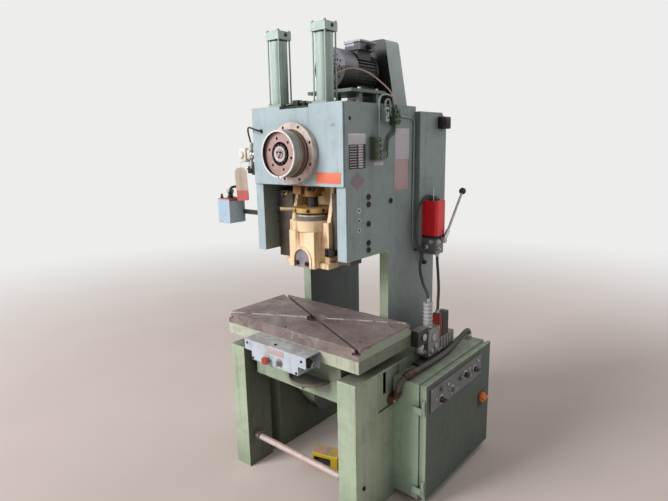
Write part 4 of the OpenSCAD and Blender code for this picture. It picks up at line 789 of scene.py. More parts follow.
class PRESS_OT_finishes(bpy.types.Operator):
    """Makes the finishes and puts them on the castings, covers and shafts"""

    bl_idname = "press.finishes"
    bl_label = "Finishes"

    def execute(self, context):
        paints = context.scene.press_paints
        left_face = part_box("frame_side_left")[0].x
        drum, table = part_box("stroke_drum"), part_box("table_casting")
        bar, leg_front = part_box("foot_bar"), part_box("base_left")[0].y
        given = {
            enamel("head_enamel", paints.head, 0.12, 0.35, 0.25): (
                "head_top_plate front_cover rear_bearing_plate"
            ),
            enamel("stand_enamel", (0.47, 0.54, 0.48), 0.3, 0.4, 0.4): "motor_stand",
            # The front edge takes the head's lighter colour and the side face the darker side colour: partly
            # painted light and shade on one paint
            enamel("side_enamel", paints.side, 0.14, 0.35, 0.25, areas=(
                area(paints.head, y=(None, -0.3025)), area(paints.base, y=(None, 0.0005), z=(None, 1.12)),
            )): "frame_side_right",
            # Head and side colours are partly painted light and shade as on the right plate; the lower faces inside
            # the column, at 0.6 of the side colour, are painted shade
            enamel("left_side_enamel", paints.side, 0.14, 0.35, 0.25, areas=(
                area(paints.head, y=(None, -0.3025)),
                area(shade(paints.side, 0.6), x=(left_face + 0.002, None), z=(None, 1.12)),
                area(paints.base, y=(None, 0.0005), z=(None, 1.12)),
            )): "frame_side_left",
            enamel("housing_enamel", paints.side, 0.16, 0.3, 0.3): "flywheel_housing",
            # The near-black front face is painted shade
            enamel("belt_guard_enamel", paints.side, 0.12, 0.3, 0.25, areas=(
                area((0.045, 0.045, 0.05), y=(None, 0.2265)),
            )): "belt_guard",
            # The darker faces inside the legs, behind their fronts, are painted shade
            enamel("base_enamel", shade(paints.base, 1.05), 0.26, 0.5, 0.35, areas=(
                area(shade(paints.base, 0.62), x=(bar[0].x - 0.001, bar[1].x + 0.001), y=(leg_front + 0.002, None)),
            )): "base_left base_right",
            enamel("arm_enamel", paints.base, 0.26, 0.5, 0.35): "lower_arm",
            # The paler front face is painted light and the darker right face is painted shade
            enamel("table_enamel", paints.base, 0.4, 0.6, 0.5, areas=(
                area((0.80, 0.82, 0.74), y=(None, table[0].y + 0.0005)),
                area((0.50, 0.54, 0.46), x=(table[1].x - 0.0005, None)),
            )): "table_casting",
            enamel("shelf_enamel", (0.52, 0.51, 0.45), 0.35, 0.5, 0.4): "round_shelf",
            enamel("cylinder_enamel", paints.cylinder, 0.12, 0.3, 0.3, edge=0.0015): (
                "balance_barrels balance_heads balance_tie_rods"
            ),
            enamel("cabinet_enamel", paints.cabinet, 0.18, 0.4, 0.3, edge=0.0018): "electrical_cabinet",
            enamel("door_enamel", paints.cabinet, 0.22, 0.4, 0.3, edge=0.0018, areas=(
                area((0.70, 0.78, 0.68), x=(None, 0.5553)),
                area((0.33, 0.38, 0.35), x=(0.5553, None), y=(-0.134, 0.510), z=(0.036, 0.585)),
                area((0.50, 0.52, 0.53), x=(0.5562, None), y=(-0.1065, 0.3945), z=(0.4545, 0.5605)),
            )): "cabinet_door",
            # The lighter top is painted light
            enamel("console_enamel", paints.console, 0.24, 0.4, 0.3, edge=0.002, areas=(
                area((0.86, 0.88, 0.90), z=(0.7446, None)),
            )): "console",
            enamel("pump_enamel", paints.reservoir, 0.06, 0.1, 0.15, gloss=0.22, edge=0.004, areas=(
                area((0.50, 0.51, 0.52), z=(None, 1.1545)),
            )): "oil_pump",
            enamel("guard_enamel", paints.guard, 0.12, 0.3, 0.2, edge=0.002): "foot_switch",
            enamel("motor_enamel", paints.motor, 0.35, 0.2, 0.3, gloss=0.42, edge=0.001): "motor_body",
            # The near-black lower half is painted shade, partly oil
            enamel("cowl_enamel", paints.cowl, 0.18, 0.2, 0.25, gloss=0.4, edge=0.002, areas=(
                area((0.07, 0.07, 0.08), z=(None, 1.937)),
            )): "motor_cowl",
            # The darker right part is painted shade on its right side; the lower part is darker towards the bottom
            enamel("terminal_enamel", (0.78, 0.77, 0.85), 0.15, 0.2, 0.3, areas=(
                area((0.30, 0.31, 0.35), x=(0.052, None), z=(None, 2.0545)),
                area((0.26, 0.27, 0.30), z=(None, 2.036)),
            )): "motor_terminal_box",
            # The dark band at the bottom is painted shade of the gap under the valve bodies, partly a dark base
            # plate
            enamel("valve_enamel", (0.66, 0.66, 0.65), 0.3, 0.2, 0.5, edge=0.0015, areas=(
                area((0.60, 0.12, 0.13), y=(0.1855, 0.2165), z=(0.679, None)),
                area((0.11, 0.11, 0.12), y=(0.2215, 0.2785), z=(0.679, None)),
                area((0.20, 0.21, 0.20), y=(-0.0085, 0.0795), z=(0.6895, 0.7655)),
                area((0.84, 0.84, 0.85), y=(0.080, 0.140), z=(0.744, None)),
                area((0.15, 0.14, 0.13), z=(None, 0.611)),
            )): "air_valve_unit",
            # The lighter strip on the blue box's right face is painted light
            enamel("fitting_enamel", (0.33, 0.42, 0.33), 0.25, 0.3, 0.3, edge=0.0015, areas=(
                area((0.80, 0.84, 0.83), x=(0.267, None), y=(-0.060, -0.020), z=(1.685, None)),
                area((0.20, 0.21, 0.19), x=(None, -0.267), z=(None, 1.52)),
                area((0.70, 0.80, 0.88), x=(None, -0.386), z=(None, 1.40)),
                area((0.86, 0.93, 0.98), x=(-0.3865, -0.380), z=(None, 1.40)),
                area((0.86, 0.85, 0.82), x=(None, -0.267), z=(1.52, None)),
            )): "side_fittings",
            enamel("panel_enamel", (0.62, 0.64, 0.65)): "contactor_panel",
            ram_enamel("ram_enamel", paints.ram): "ram",
            worn_plate("bolster_steel"): "bolster",
            machined("bright_steel", (0.86, 0.79, 0.76), 0.4, metallic=0.25): (
                "crank_flange crankshaft balance_rods"
            ),
            machined("nut_steel", (0.27, 0.26, 0.26), 0.40): "crank_nut adjusting_screw",
            machined("bar_steel", (0.78, 0.70, 0.58), 0.55, 0.45, metallic=0.5): "tommy_bar",
            drum_metal("drum_metal", CRANK_Z * MM, drum[0].y, drum[1].x * 0.92, drum[1].x * 0.5): "stroke_drum",
            machined("dark_steel", (0.26, 0.25, 0.24), 0.35, 0.4): "clamp_bolts motor_pulley flywheel",
            machined("cup_steel", (0.58, 0.53, 0.50), 0.5, 0.42, metallic=0.6): "ball_cup",
            machined("lever_steel", (0.84, 0.81, 0.80), 0.1, 0.45, metallic=0.35): "pump_lever",
            machined("clamp_steel", (0.62, 0.59, 0.62), 0.45, 0.42, metallic=0.7): "shank_clamp",
            machined("bronze", (0.82, 0.66, 0.42), 0.7, 0.42, metallic=0.55): "lock_ring",
            machined("rod_iron", (0.60, 0.42, 0.24), 0.7, 0.5, metallic=0.4): "connecting_rod",
            # The gibs' dark iron is partly painted shade under the side plates
            machined("guide_iron", (0.36, 0.33, 0.29), 0.6, 0.55, metallic=0.35): "gib_left gib_right",
            enamel("bar_enamel", (0.88, 0.79, 0.76), 0.25, 0.6, 0.3): "foot_bar",
            moulded("black_plastic", (0.09, 0.09, 0.10)): (
                "motor_fan stop_button mode_selector motor_selector palm_button_right foot_pedal"
            ),
            machined("selector_metal", (0.72, 0.70, 0.69), 0.3, 0.35, metallic=0.6): "console_selector",
            moulded("brown_plastic", (0.60, 0.46, 0.44)): "palm_button_left",
            moulded("grey_plastic", (0.50, 0.50, 0.49)): "start_button",
            moulded("red_plastic", (0.68, 0.20, 0.23), 0.3): "emergency_button",
            moulded("orange_plastic", (0.95, 0.52, 0.22), 0.35): "main_switch",
            moulded("rubber", (0.075, 0.075, 0.08), 0.55): "drive_belts air_lines",
            enamel("tag_card", (0.80, 0.73, 0.66), 0.35, 0.3, 0.4, edge=0.0004, areas=(
                area((0.84, 0.42, 0.40), z=(None, 1.395)),
            )): "",
        }
        machined("rusty_bracket", (0.17, 0.13, 0.11), 0.8, 0.6, metallic=0.3)
        moulded("white_plastic", (0.84, 0.83, 0.79))
        machined("zinc", (0.76, 0.76, 0.75), 0.2, 0.35)
        machined("old_screw", (0.20, 0.19, 0.18), 0.5, 0.45, metallic=0.7)
        machined("brass", (0.66, 0.52, 0.28), 0.4, 0.38)
        machined("brown_ring", (0.36, 0.25, 0.19), 0.6, 0.45, metallic=0.5)
        moulded("pink_hose", (0.84, 0.70, 0.66), 0.5)
        moulded("grey_conduit", (0.36, 0.33, 0.30), 0.55, dust=0.5)
        # Labels and thin pipes: grime, chips, streaks and edge
        for name, rgb, grime, chips, streaks, edge in (
            ("foot_label", (0.90, 0.68, 0.56), 0.2, 0.2, 0.2, 0.0004),
            ("red_label", (0.96, 0.50, 0.37), 0.08, 0.05, 0.1, 0.0004),
            ("pink_label", (0.80, 0.69, 0.69), 0.15, 0.05, 0.2, 0.0004),
            ("white_label", (0.86, 0.85, 0.89), 0.08, 0.0, 0.1, 0.0004),
            ("black_label", (0.10, 0.10, 0.12), 0.1, 0.1, 0.1, 0.0004),
            ("dim_label", (0.58, 0.52, 0.55), 0.2, 0.1, 0.2, 0.0004),
            ("green_fitting", (0.30, 0.40, 0.28), 0.2, 0.3, 0.2, 0.0008),
            ("long_pipe_enamel", (0.62, 0.71, 0.68), 0.1, 0.2, 0.2, 0.0008),
            ("pale_pipe", (0.66, 0.73, 0.70), 0.2, 0.3, 0.2, 0.0008),
        ):
            enamel(name, rgb, grime, chips, streaks, edge=edge)
        for material, nodes in given.items():
            for node in nodes.split():
                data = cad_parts[node].data
                data.materials.clear()
                data.materials.append(material)
        return {"FINISHED"}


class PRESS_OT_crank_end(bpy.types.Operator):
    """Adds the flange's screws, the ring and lips behind the drum, the drum's screws, and the shaft's end plate
    with its screws
    """

    bl_idname = "press.crank_end"
    bl_label = "Crank end"

    def execute(self, context):
        detail = context.scene.press_detail
        flange, drum, shaft = corners("crank_flange"), corners("stroke_drum"), corners("crankshaft")
        z = CRANK_Z
        face = flange[0].y
        count = detail.flange_bolts
        reach = flange[1].x - 13
        around = [math.pi * (2 * i + 1) / count for i in range(count)]
        fasteners(
            "flange_screws",
            [(reach * math.cos(a), face + 8, z + reach * math.sin(a)) for a in around],
            FRONT, detail.flange_bolt_r / MM, 6, "old_screw", kind=cap_screw,
        )
        behind = drum[1].y
        turnings("drum_ring", [((0, face, z), FRONT, disc(101, face - behind - 0.4, inner=51))], "brown_ring")
        turnings("drum_lip", [
            ((0, behind - 13, z), FRONT, disc(99.2, 4, inner=97.4)),
            ((0, behind - 24, z), FRONT, disc(98.6, 2.5, inner=97.4)),
        ], "brown_ring", "crankshaft", 64)
        start = drum[0].y
        ring = [math.pi * (0.5 + i) / 3 - math.pi / 12 for i in range(6)]
        fasteners(
            "drum_screws", [(65.3 * math.cos(a), start + 22, z - 65.3 * math.sin(a)) for a in ring],
            FRONT, 5.4, 5, "old_screw", "crankshaft", cap_screw,
        )
        end = shaft[0].y
        turnings("shaft_end_plate", [
            ((0, end, z), FRONT, disc(20, 3)),
            ((0, end - 3, z), FRONT, disc(7, 3)),
        ], "clamp_steel", "crankshaft")
        fasteners(
            "shaft_end_screws",
            [(13.5 * math.cos(a), end - 3, z + 13.5 * math.sin(a)) for a in (0.5, 2.6, 4.7)],
            FRONT, 3.6, 3, "old_screw", "crankshaft", cap_screw,
        )
        return {"FINISHED"}


class PRESS_OT_cylinders(bpy.types.Operator):
    """Adds the balance cylinders' nuts, ports and the pipe that joins them"""

    bl_idname = "press.cylinders"
    bl_label = "Balance cylinders"

    def execute(self, context):
        nut = context.scene.press_detail.cylinder_nut / MM
        heads = corners("balance_heads")
        top, foot = heads[1].z, corners("head_top_plate")[1].z
        y = (heads[0].y + heads[1].y) / 2
        half = (heads[1].y - heads[0].y) / 2
        x = heads[1].x - half
        reach = half - 6
        rods = [(s * x + i * reach, y + j * reach) for s in (-1, 1) for i in (-1, 1) for j in (-1, 1)]
        fasteners("tie_rod_nuts", [(a, b, top - 2) for a, b in rods], UP, nut, 8.5, "cylinder_enamel")
        fasteners("tie_rod_feet", [(a, b, foot + 10) for a, b in rods], UP, 5.6, 6, "cylinder_enamel")
        fasteners(
            "cylinder_ports", [(s * x + half, y + 6, top - 14) for s in (-1, 1)], RIGHT, 6.5, 4, "old_screw"
        )
        turnings("rod_seals", [
            ((s * x, y, foot + 10), UP, disc(37.4, 5, inner=36)) for s in (-1, 1)
        ], "cylinder_enamel")
        turnings("cylinder_collars", [
            ((s * x, y, top - 40), UP, disc(37.2, 5, inner=36)) for s in (-1, 1)
        ], "old_screw")
        low = foot - 30
        pipes("cylinder_pipe", [
            [(-x + half - 2, y - 12, foot + 5), (-x + half + 12, y - 12, foot + 5), (-30, y - 8, foot + 12),
             (20, y - 8, foot + 12), (x - half - 12, y - 12, foot + 5), (x - half + 2, y - 12, foot + 5)],
        ], 6, "green_fitting")
        blocks("cylinder_valve", [
            ((-38, y - 22, low + 24), (-6, y + 6, foot + 22)), ((14, y - 20, low + 24), (32, y + 4, foot + 17)),
        ], "old_screw")
        blocks("cylinder_valve_shelf", [
            ((-84, corners("head_top_plate")[0].y + 10, low + 2), (84, -238, low + 26)),
        ], "old_screw")
        return {"FINISHED"}


class PRESS_OT_head_plates(bpy.types.Operator):
    """Adds the bare plates, labels, plugs and valves of the head"""

    bl_idname = "press.head_plates"
    bl_label = "Plates, plugs and valves of the head"

    def execute(self, context):
        front = corners("front_cover")[0].y
        side = corners("frame_side_right")[1].x
        blocks("front_plate", [((118, front - 1.2, 1443), (250, front + 0.5, 1487))], "red_label", bevel=0.4)
        blocks("front_mark", [((203, front - 1.4, 1673), (222, front + 0.4, 1681))], "pale_pipe", bevel=0.6)
        blocks("data_plate", [((side - 0.5, -286, 1496), (side + 1.2, -168, 1640))], "zinc", bevel=0.3)
        blocks("data_plate_head", [((side + 1, -284, 1600), (side + 1.8, -170, 1637))], "white_label", bevel=0.1)
        blocks("data_plate_field", [((side + 1, -284, 1498), (side + 1.8, -170, 1598))], "black_label", bevel=0.1)
        rows = range(9)
        blocks("data_plate_cells", [
            ((side + 1.6, -219, 1503 + i * 10.6), (side + 2.1, -188, 1510.5 + i * 10.6)) for i in rows
        ] + [
            ((side + 1.6, -277, 1505 + i * 10.6), (side + 2.1, -232, 1507.5 + i * 10.6)) for i in rows
        ], "white_label", bevel=0.1)

        def diamond(bm):
            place = Matrix.Translation(mm(side - 0.4, -226, 1449)) @ rotation_to(RIGHT)
            for size, lift in ((1.0, 1.1), (0.62, 1.5)):
                outline = [(0.040 * size, 0), (0, 0.048 * size), (-0.040 * size, 0), (0, -0.048 * size)]
                prism(bm, outline, place, lift * MM)

        piece("diamond_label", "frame", "dim_label", diamond)
        blocks("white_sheet", [((side - 0.4, 52, 1527), (side + 0.8, 170, 1665))], "white_label", bevel=0.2)
        blocks("pink_sheet", [((side - 0.4, 44, 1388), (side + 0.8, 161, 1526))], "pink_label", bevel=0.2)
        blocks("small_plate", [((side - 0.4, -112, 1507), (side + 0.9, -42, 1523))], "white_label", bevel=0.2)
        plugs = ((-150, 1378), (-150, 1346), (-151, 1262), (-152, 1179), (-152, 1148), (18, 1347))
        fasteners("side_plugs", [(side, y, z) for y, z in plugs], RIGHT, 12, 5, "old_screw", kind=cap_screw)
        lifts = ((-217, 1242), (-217, 1283), (-217, 1325))
        turnings("plug_rims", [
            ((side - 0.3, y, z), RIGHT, disc(11, 1.3, 0.4, inner=6.2)) for y, z in lifts
        ], "zinc")
        turnings("plug_floors", [
            ((side - 6, y, z), RIGHT, disc(6.4, 1)) for y, z in lifts
        ], "old_screw", sides=16)
        stack = 1531
        turnings("valve_knobs", [
            ((side + 24, y, stack + 12 + 24 * i), RIGHT, spun(6.5, (6.5, 4), (4.5, 5), (4.5, 8)))
            for i in range(4) for y in (-126, -98)
        ], "green_fitting", sides=16)
        turnings("valve_marks", [
            ((side + 23.6, -112, stack + 12 + 24 * i), RIGHT, disc(4, 6, 0.4)) for i in range(4)
        ], "brass", sides=12)
        turnings("valve_tails", [
            ((side + 16, -88, stack + 12 + 24 * i), BACK, spun(6, (6, 5), (4, 6), (4, 14)))
            for i in range(4)
        ], "green_fitting", sides=12)
        turnings("relay_sockets", [
            ((side + 24, -41, 1735), RIGHT, disc(7, 2.5)), ((side + 24, -37, 1706), RIGHT, disc(4, 2.5)),
            ((side + 24, -46, 1719), RIGHT, disc(3, 2)),
        ], "old_screw", sides=16)
        turnings("relay_knobs", [
            ((side + 30, y, z), RIGHT, spun(7, (7, 5), (5.5, 6), (5.5, 10)))
            for y, z in ((17, 1689), (36, 1692), (18, 1712), (37, 1714), (27, 1733))
        ] + [
            ((side + 15, y, 1743.5), UP, spun(8, (8, 8), (5, 10), (5, 20)))
            for y in (18, 38)
        ], "green_fitting", sides=16)
        pipes("head_pipes", [
            [(side + 14, -96, 1624), (side + 14, -92, 1700), (side + 14, -90, 1770), (side + 14, -78, 1796),
             (side + 15, -40, 1804), (side + 15, 8, 1797), (side + 15, 18, 1778), (side + 15, 18, 1760)],
            [(side + 12, -41, 1747), (side + 12, -41, 1772), (side + 12, -26, 1786), (side + 12, -6, 1780),
             (side + 12, -2, 1758), (side + 12, -2, 1722), (side + 12, 10, 1716)],
        ], 4, "pale_pipe")
        pipes("relay_pipes", [
            [(side + 8, 29, 1680), (side + 8, 29, 1650), (side + 8, -19, 1624), (side + 8, -26, 1570),
             (side + 12, -50, 1556), (side + 16, -76, 1555)],
            [(side + 8, 40, 1680), (side + 8, 40, 1644), (side + 8, -12, 1618), (side + 8, -20, 1538),
             (side + 12, -50, 1532), (side + 16, -76, 1532)],
        ], 3, "green_fitting")
        pipes("long_pipe", [
            [(side + 15, 46, 1716), (side + 6, 92, 1716), (side + 4, 178, 1712), (side + 4, 205, 1698),
             (side + 4, 203, 1500), (side + 4, 198, 1230), (side + 4, 199, 1122)],
        ], 3.5, "long_pipe_enamel", bend=22)
        hose("relay_hose", [
            (122, -204, 1764), (122, -204, 1772), (122, -204, 1782), (124, -205, 1820), (130, -203, 1858),
            (140, -198, 1883), (155, -176, 1899), (178, -130, 1911), (212, -69, 1895), (245, -21, 1856),
            (268, 11, 1821), (280, 34, 1786), (side + 15, 38, 1774), (side + 15, 38, 1768), (side + 15, 38, 1762),
        ], 3, "pink_hose")
        house = corners("flywheel_housing")[1].x
        blocks("housing_lamp", [
            ((house - 1, 392, 1664), (house + 34, 462, 1722)), ((house + 33, 400, 1672), (house + 38, 454, 1714)),
        ], "old_screw", bevel=4)
        blocks("lamp_grid", [
            ((house + 37, 404 + 12 * i, 1676), (house + 40, 410 + 12 * i, 1710)) for i in range(4)
        ], "brown_ring", bevel=1.2)
        return {"FINISHED"}


class PRESS_OT_left_air(bpy.types.Operator):
    """Adds the air switch, its fittings and the blank tag on the head's left side"""

    bl_idname = "press.left_air"
    bl_label = "Left air switch"

    def execute(self, context):
        left = corners("frame_side_left")[0].x
        y, z = -283, 1560
        blocks("air_switch", [
            ((left - 108, y - 26, z - 34), (left - 60, y + 26, z + 33)),
            ((left - 62, y - 18, z - 20), (left - 40, y + 18, z + 22)),
        ], "white_plastic", bevel=7)
        turnings("air_switch_knob", [
            ((left - 88, y - 26, z), FRONT, spun(18, (18, 4), (14, 8), top=9)),
            ((left - 48, y, z + 20), UP, spun(11, (11, 16), (13, 18), (13, 32), (9, 36))),
        ], "white_plastic")
        turnings("air_fittings", [
            ((left - 42, y - 2, z), RIGHT, spun(15, (15, 12), (11, 14), (11, 24), (16, 25), (16, 42))),
            ((left - 34, y - 12, z - 74), UP, spun(9, (9, 20), (13, 22), (13, 40), (8, 42), (8, 66))),
            ((left - 24, y - 16, z - 16), FRONT, spun(10, (10, 8), (7, 10), (7, 18))),
            ((left - 50, y - 14, z - 62), LEFT, spun(10, (10, 9))),
        ], "zinc", sides=8)
        blocks("air_block", [
            ((left - 26, y - 22, z - 92), (left + 0.5, y + 14, z - 50)),
            ((left - 50, y - 24, z - 86), (left - 25, y + 6, z - 62)),
        ], "old_screw", bevel=2)
        hose("switch_hose", [
            (-316, -283, 1608), (-316, -283.5, 1618), (-315, -287, 1630), (-310, -296, 1646), (-299, -309, 1661),
            (-284, -323, 1672), (-266, -336, 1679), (-248, -346, 1681), (-231, -349, 1678), (-218, -345, 1673),
            (-209, -335, 1668), (-205.6, -326, 1665), (-205, -317, 1664),
        ], 4, "rubber")
        front = corners("front_cover")[0].y
        turnings("hose_socket", [((left + 63, front, z + 104), FRONT, disc(8, 6))], "old_screw", sides=16)
        top = 1353
        turnings("regulator_knob", [
            ((left - 168, y - 40, top + 1), UP, spun(19, (19, 8), (13, 9), (13, 24), (17, 25), (17, 40), (14, 43))),
        ], "zinc", sides=24)
        turnings("regulator_glands", [
            ((left - 192, y - 74, top + 1), UP, spun(8, (8, 8), (5, 9), (5, 22))),
            ((left - 140, y - 64, top + 1), UP, spun(12, (12, 14), (9, 16), (9, 34))),
        ], "old_screw", sides=12)
        pipes("regulator_pipe", [
            [(left - 140, y - 64, top + 30), (left - 140, y - 60, top + 52), (left - 150, y - 20, top + 58),
             (left - 160, y + 4, top + 40), (left - 160, y + 8, top + 1)],
        ], 6, "rubber", bend=20)
        blocks("regulator_lid", [
            ((left - 201.8, y - 91.8, top - 9), (left - 116.4, y + 3, top + 2)),
        ], "tag_card", bevel=1)

        def tag(bm):
            outline = [(-27, -76), (27, -76), (31, -70), (31, 60), (18, 78), (-18, 78), (-31, 60), (-31, -70)]
            place = Matrix.Translation(mm(left - 72, y - 46, 1423)) @ Matrix.Rotation(math.radians(22), 4, "Z")
            place = place @ Matrix.Rotation(math.radians(90), 4, "X") @ Matrix.Rotation(math.radians(3), 4, "Z")
            prism(bm, [(a * MM, b * MM) for a, b in outline], place, 0.0012)

        piece("hanging_tag", "frame", "tag_card", tag)
        pipes("tag_string", [
            [(left - 78, y - 33, z - 6), (left - 76, y - 42, z - 26), (left - 75.5, y - 45, z - 64)],
        ], 1.2, "white_plastic", bend=6, sides=6)
        return {"FINISHED"}


class PRESS_OT_motor(bpy.types.Operator):
    """Adds the motor's bolts, its cable gland, and the ribs and screws of its terminal box"""

    bl_idname = "press.motor"
    bl_label = "Motor"

    def execute(self, context):
        low, high = corners("motor_terminal_box")
        blocks("terminal_ribs", [
            ((low.x + 8 + 14 * i, low.y + 6, high.z - 1), (low.x + 14 + 14 * i, high.y - 6, high.z + 1.6))
            for i in range(6)
        ], "terminal_enamel")
        fasteners(
            "terminal_screws", [(x, low.y + 0.4, high.z - 5.5) for x in (low.x + 7, high.x - 7)],
            FRONT, 3.2, 2.5, "zinc", kind=cap_screw,
        )
        turnings("motor_gland", [
            ((high.x - 5, low.y + 60, low.z + 14), RIGHT, spun(13, (13, 8), (10, 9), (10, 18), (7, 22))),
        ], "old_screw", sides=16)
        plate = corners("motor_stand")[1].z
        motor_foot = corners("motor_body")[0].z + 14
        fasteners(
            "motor_feet_bolts",
            [(x, y, motor_foot) for x in (-66, 66) for y in (66, 158)], UP, 8, 9, "old_screw",
        )
        fasteners(
            "motor_plate_bolts",
            [(x, y, plate) for x in (-114, 114) for y in (-6, 125)], UP, 9, 9, "zinc",
        )
        return {"FINISHED"}


class PRESS_OT_ram_parts(bpy.types.Operator):
    """Adds the ram's bracket, knurled cup band, nozzle and bolts"""

    bl_idname = "press.ram_parts"
    bl_label = "Ram"

    def execute(self, context):
        front = -240
        blocks("ram_bracket", [
            ((100, front - 10, 1114), (146, front + 0.5, 1151)), ((140, front - 8, 1120), (152, front + 18, 1146)),
        ], "rusty_bracket", "ram", 1.5)
        fasteners(
            "ram_bracket_screws", [(112, front - 10, 1141), (112, front - 10, 1123)], FRONT, 6.5, 6,
            "old_screw", "ram", cap_screw,
        )
        cup = corners("ball_cup")
        top = cup[1].z
        radius = (cup[1].x - cup[0].x) / 2
        turnings("cup_band", [
            ((0, RAM_Y, top - 9), UP, disc(radius + 1.6, 6, inner=radius - 0.5)),
        ], "zinc", "ram", 64)

        def knurl(bm):
            count = 72
            for i in range(count):
                a = 2 * math.pi * i / count
                place = Matrix.Translation(mm(0, RAM_Y, top - 26)) @ Matrix.Rotation(a, 4, "Z")
                outline = [(radius - 0.4, -1.4), (radius + 1.3, 0), (radius - 0.4, 1.4)]
                prism(bm, [(u * MM, v * MM) for u, v in outline], place, 15 * MM)

        piece("cup_knurl", "ram", "cup_steel", knurl)
        ring = corners("lock_ring")
        low, reach = ring[0].z, ring[1].x
        turnings("ring_band", [
            ((0, RAM_Y, low + 0.4), UP, disc(reach + 0.8, 3.4, inner=reach - 1)),
        ], "brass", "lock_ring", 64)
        blocks("grease_nozzle", [((-141, -270, 1366), (-124, -258, 1388))], "old_screw", bevel=2)
        pipes("grease_pipe", [
            [(-128, -262, 1376), (-114, -266, 1379), (-105, -262, 1388), (-118, -234, 1393), (-150, -214, 1393)],
        ], 3.2, "brass", bend=10)
        rod = corners("connecting_rod")
        turnings("rod_clamp_bolts", [
            ((x, rod[0].y + 18, 1408), FRONT, spun(9, (9, 9), (6, 10))) for x in (20, 46)
        ], "old_screw", "connecting_rod", 12)
        return {"FINISHED"}


class PRESS_OT_oil_pump(bpy.types.Operator):
    """Adds the oil pump's lid, rod, fittings and the ball and socket of its lever"""

    bl_idname = "press.oil_pump"
    bl_label = "Oil pump"

    def execute(self, context):
        low, high = corners("oil_pump")
        x, y = low.x + 40, low.y + 44
        tank_top = high.z - 13
        turnings("filler_cap", [
            ((x, y, tank_top), UP, spun(26, (26, 7), (22, 12), (14, 16), top=17)),
        ], "black_plastic")
        turnings("level_rod", [((low.x + 52, low.y + 14, tank_top - 1), UP, disc(2, 72, 0.5))], "zinc", sides=8)
        blocks("tank_foot", [
            ((low.x + 0.5, low.y - 1, 1146), (high.x + 1, high.y + 1, 1157)),
        ], "old_screw", bevel=2)
        turnings("pump_fittings", [
            ((low.x + 23, low.y + 6.5, 1100), FRONT, spun(12, (12, 9), (9, 10), (9, 20))),
            ((low.x + 52, low.y + 62, 1065.5), DOWN, spun(12, (12, 9), (9, 10), (9, 20))),
            ((high.x - 8.5, low.y + 22, 1128), RIGHT, spun(13, (13, 8), (8, 9), (8, 15))),
            ((high.x - 8.5, low.y + 24, 1092), RIGHT, spun(10, (10, 10), (6, 11), (6, 18))),
            ((low.x + 52, low.y + 6.5, 1128), FRONT, spun(11, (11, 12))),
        ], "zinc", sides=16)
        hose("return_hose", [
            (305, 346, 1332), (304.5, 338, 1337), (304, 327, 1341.5), (302, 303, 1345.5), (300, 278, 1341),
            (299, 254, 1330), (299, 212, 1296), (299, 190, 1246), (299, 185, 1193), (299, 197, 1133),
            (297, 226, 1089), (292, 262, 1051), (287, 284, 1030), (284, 296, 1018),
        ], 4.5, "rubber")
        blocks("return_elbow", [((267.5, 291, 1002), (292, 313, 1021))], "old_screw", bevel=4)
        turnings("return_cap", [
            ((308, 352, 1318), UP, spun(14, (14, 16), (11, 20), top=22)),
        ], "old_screw", sides=16)
        lever = corners("pump_lever")
        pivot = Vector((lever[1].x - 17, low.y + 59, 1130))
        ball = Vector((pivot.x, lever[1].y - 17, lever[1].z - 17))
        along = (ball - pivot).normalized()
        turnings("lever_socket", [
            (pivot + along * 4, along, spun(10, (10, 52), (8.5, 56))),
        ], "zinc", "pump_lever", 20)
        r = 17.4
        curve = [(r * math.sin(0.35 * i), r - r * math.cos(0.35 * i)) for i in range(1, 9)]
        turnings("lever_ball", [
            (ball - along * r, along, [(0, 0), *curve, (0, 2 * r)]),
        ], "black_plastic", "pump_lever", 28)
        return {"FINISHED"}


class PRESS_OT_air_hoses(bpy.types.Operator):
    """Lays the two oil hoses and the conduit, with their couplings"""

    bl_idname = "press.air_hoses"
    bl_label = "Hoses and conduit"

    def execute(self, context):
        feed = hose("feed_hose", FEED, 7, "rubber")
        hose("pressure_hose", PRESSURE, 7, "rubber")
        hose("conduit", CONDUIT, 13, "grey_conduit", ribbed=True)
        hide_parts("air_lines")
        ends = []
        for points, radius in ((FEED, 10), (PRESSURE, 10), (CONDUIT, 17)):
            for a, b in ((points[0], points[2]), (points[-1], points[-3])):
                axis = Vector(b) - Vector(a)
                ends.append((a, axis.normalized(), [
                    (0, 0), (radius, 0), (radius, radius * 1.1), (radius * 0.88, radius * 1.2),
                    (radius * 0.88, radius * 2), (0, radius * 2),
                ]))
        turnings("hose_ends", ends, "zinc", sides=8)
        route = smooth_route([Vector(p) for p in CONDUIT])
        turnings("conduit_couplings", [
            (route[i], (route[i + 1] - route[i]).normalized(),
             [(0, -half), (15.5, -half), (15.5, -half / 2), (18, -half / 2 + 1), (18, half / 2 - 1),
              (15.5, half / 2), (15.5, half), (0, half)])
            for i, half in ((34, 14), (60, 30))
        ], "brown_ring", sides=8)
        turnings("conduit_nut", [
            (CONDUIT[0], RIGHT, spun(26, (26, 6), (22, 8), (22, 16), (17, 18), (17, 26))),
        ], "brown_ring", sides=20)
        return {"FINISHED"}


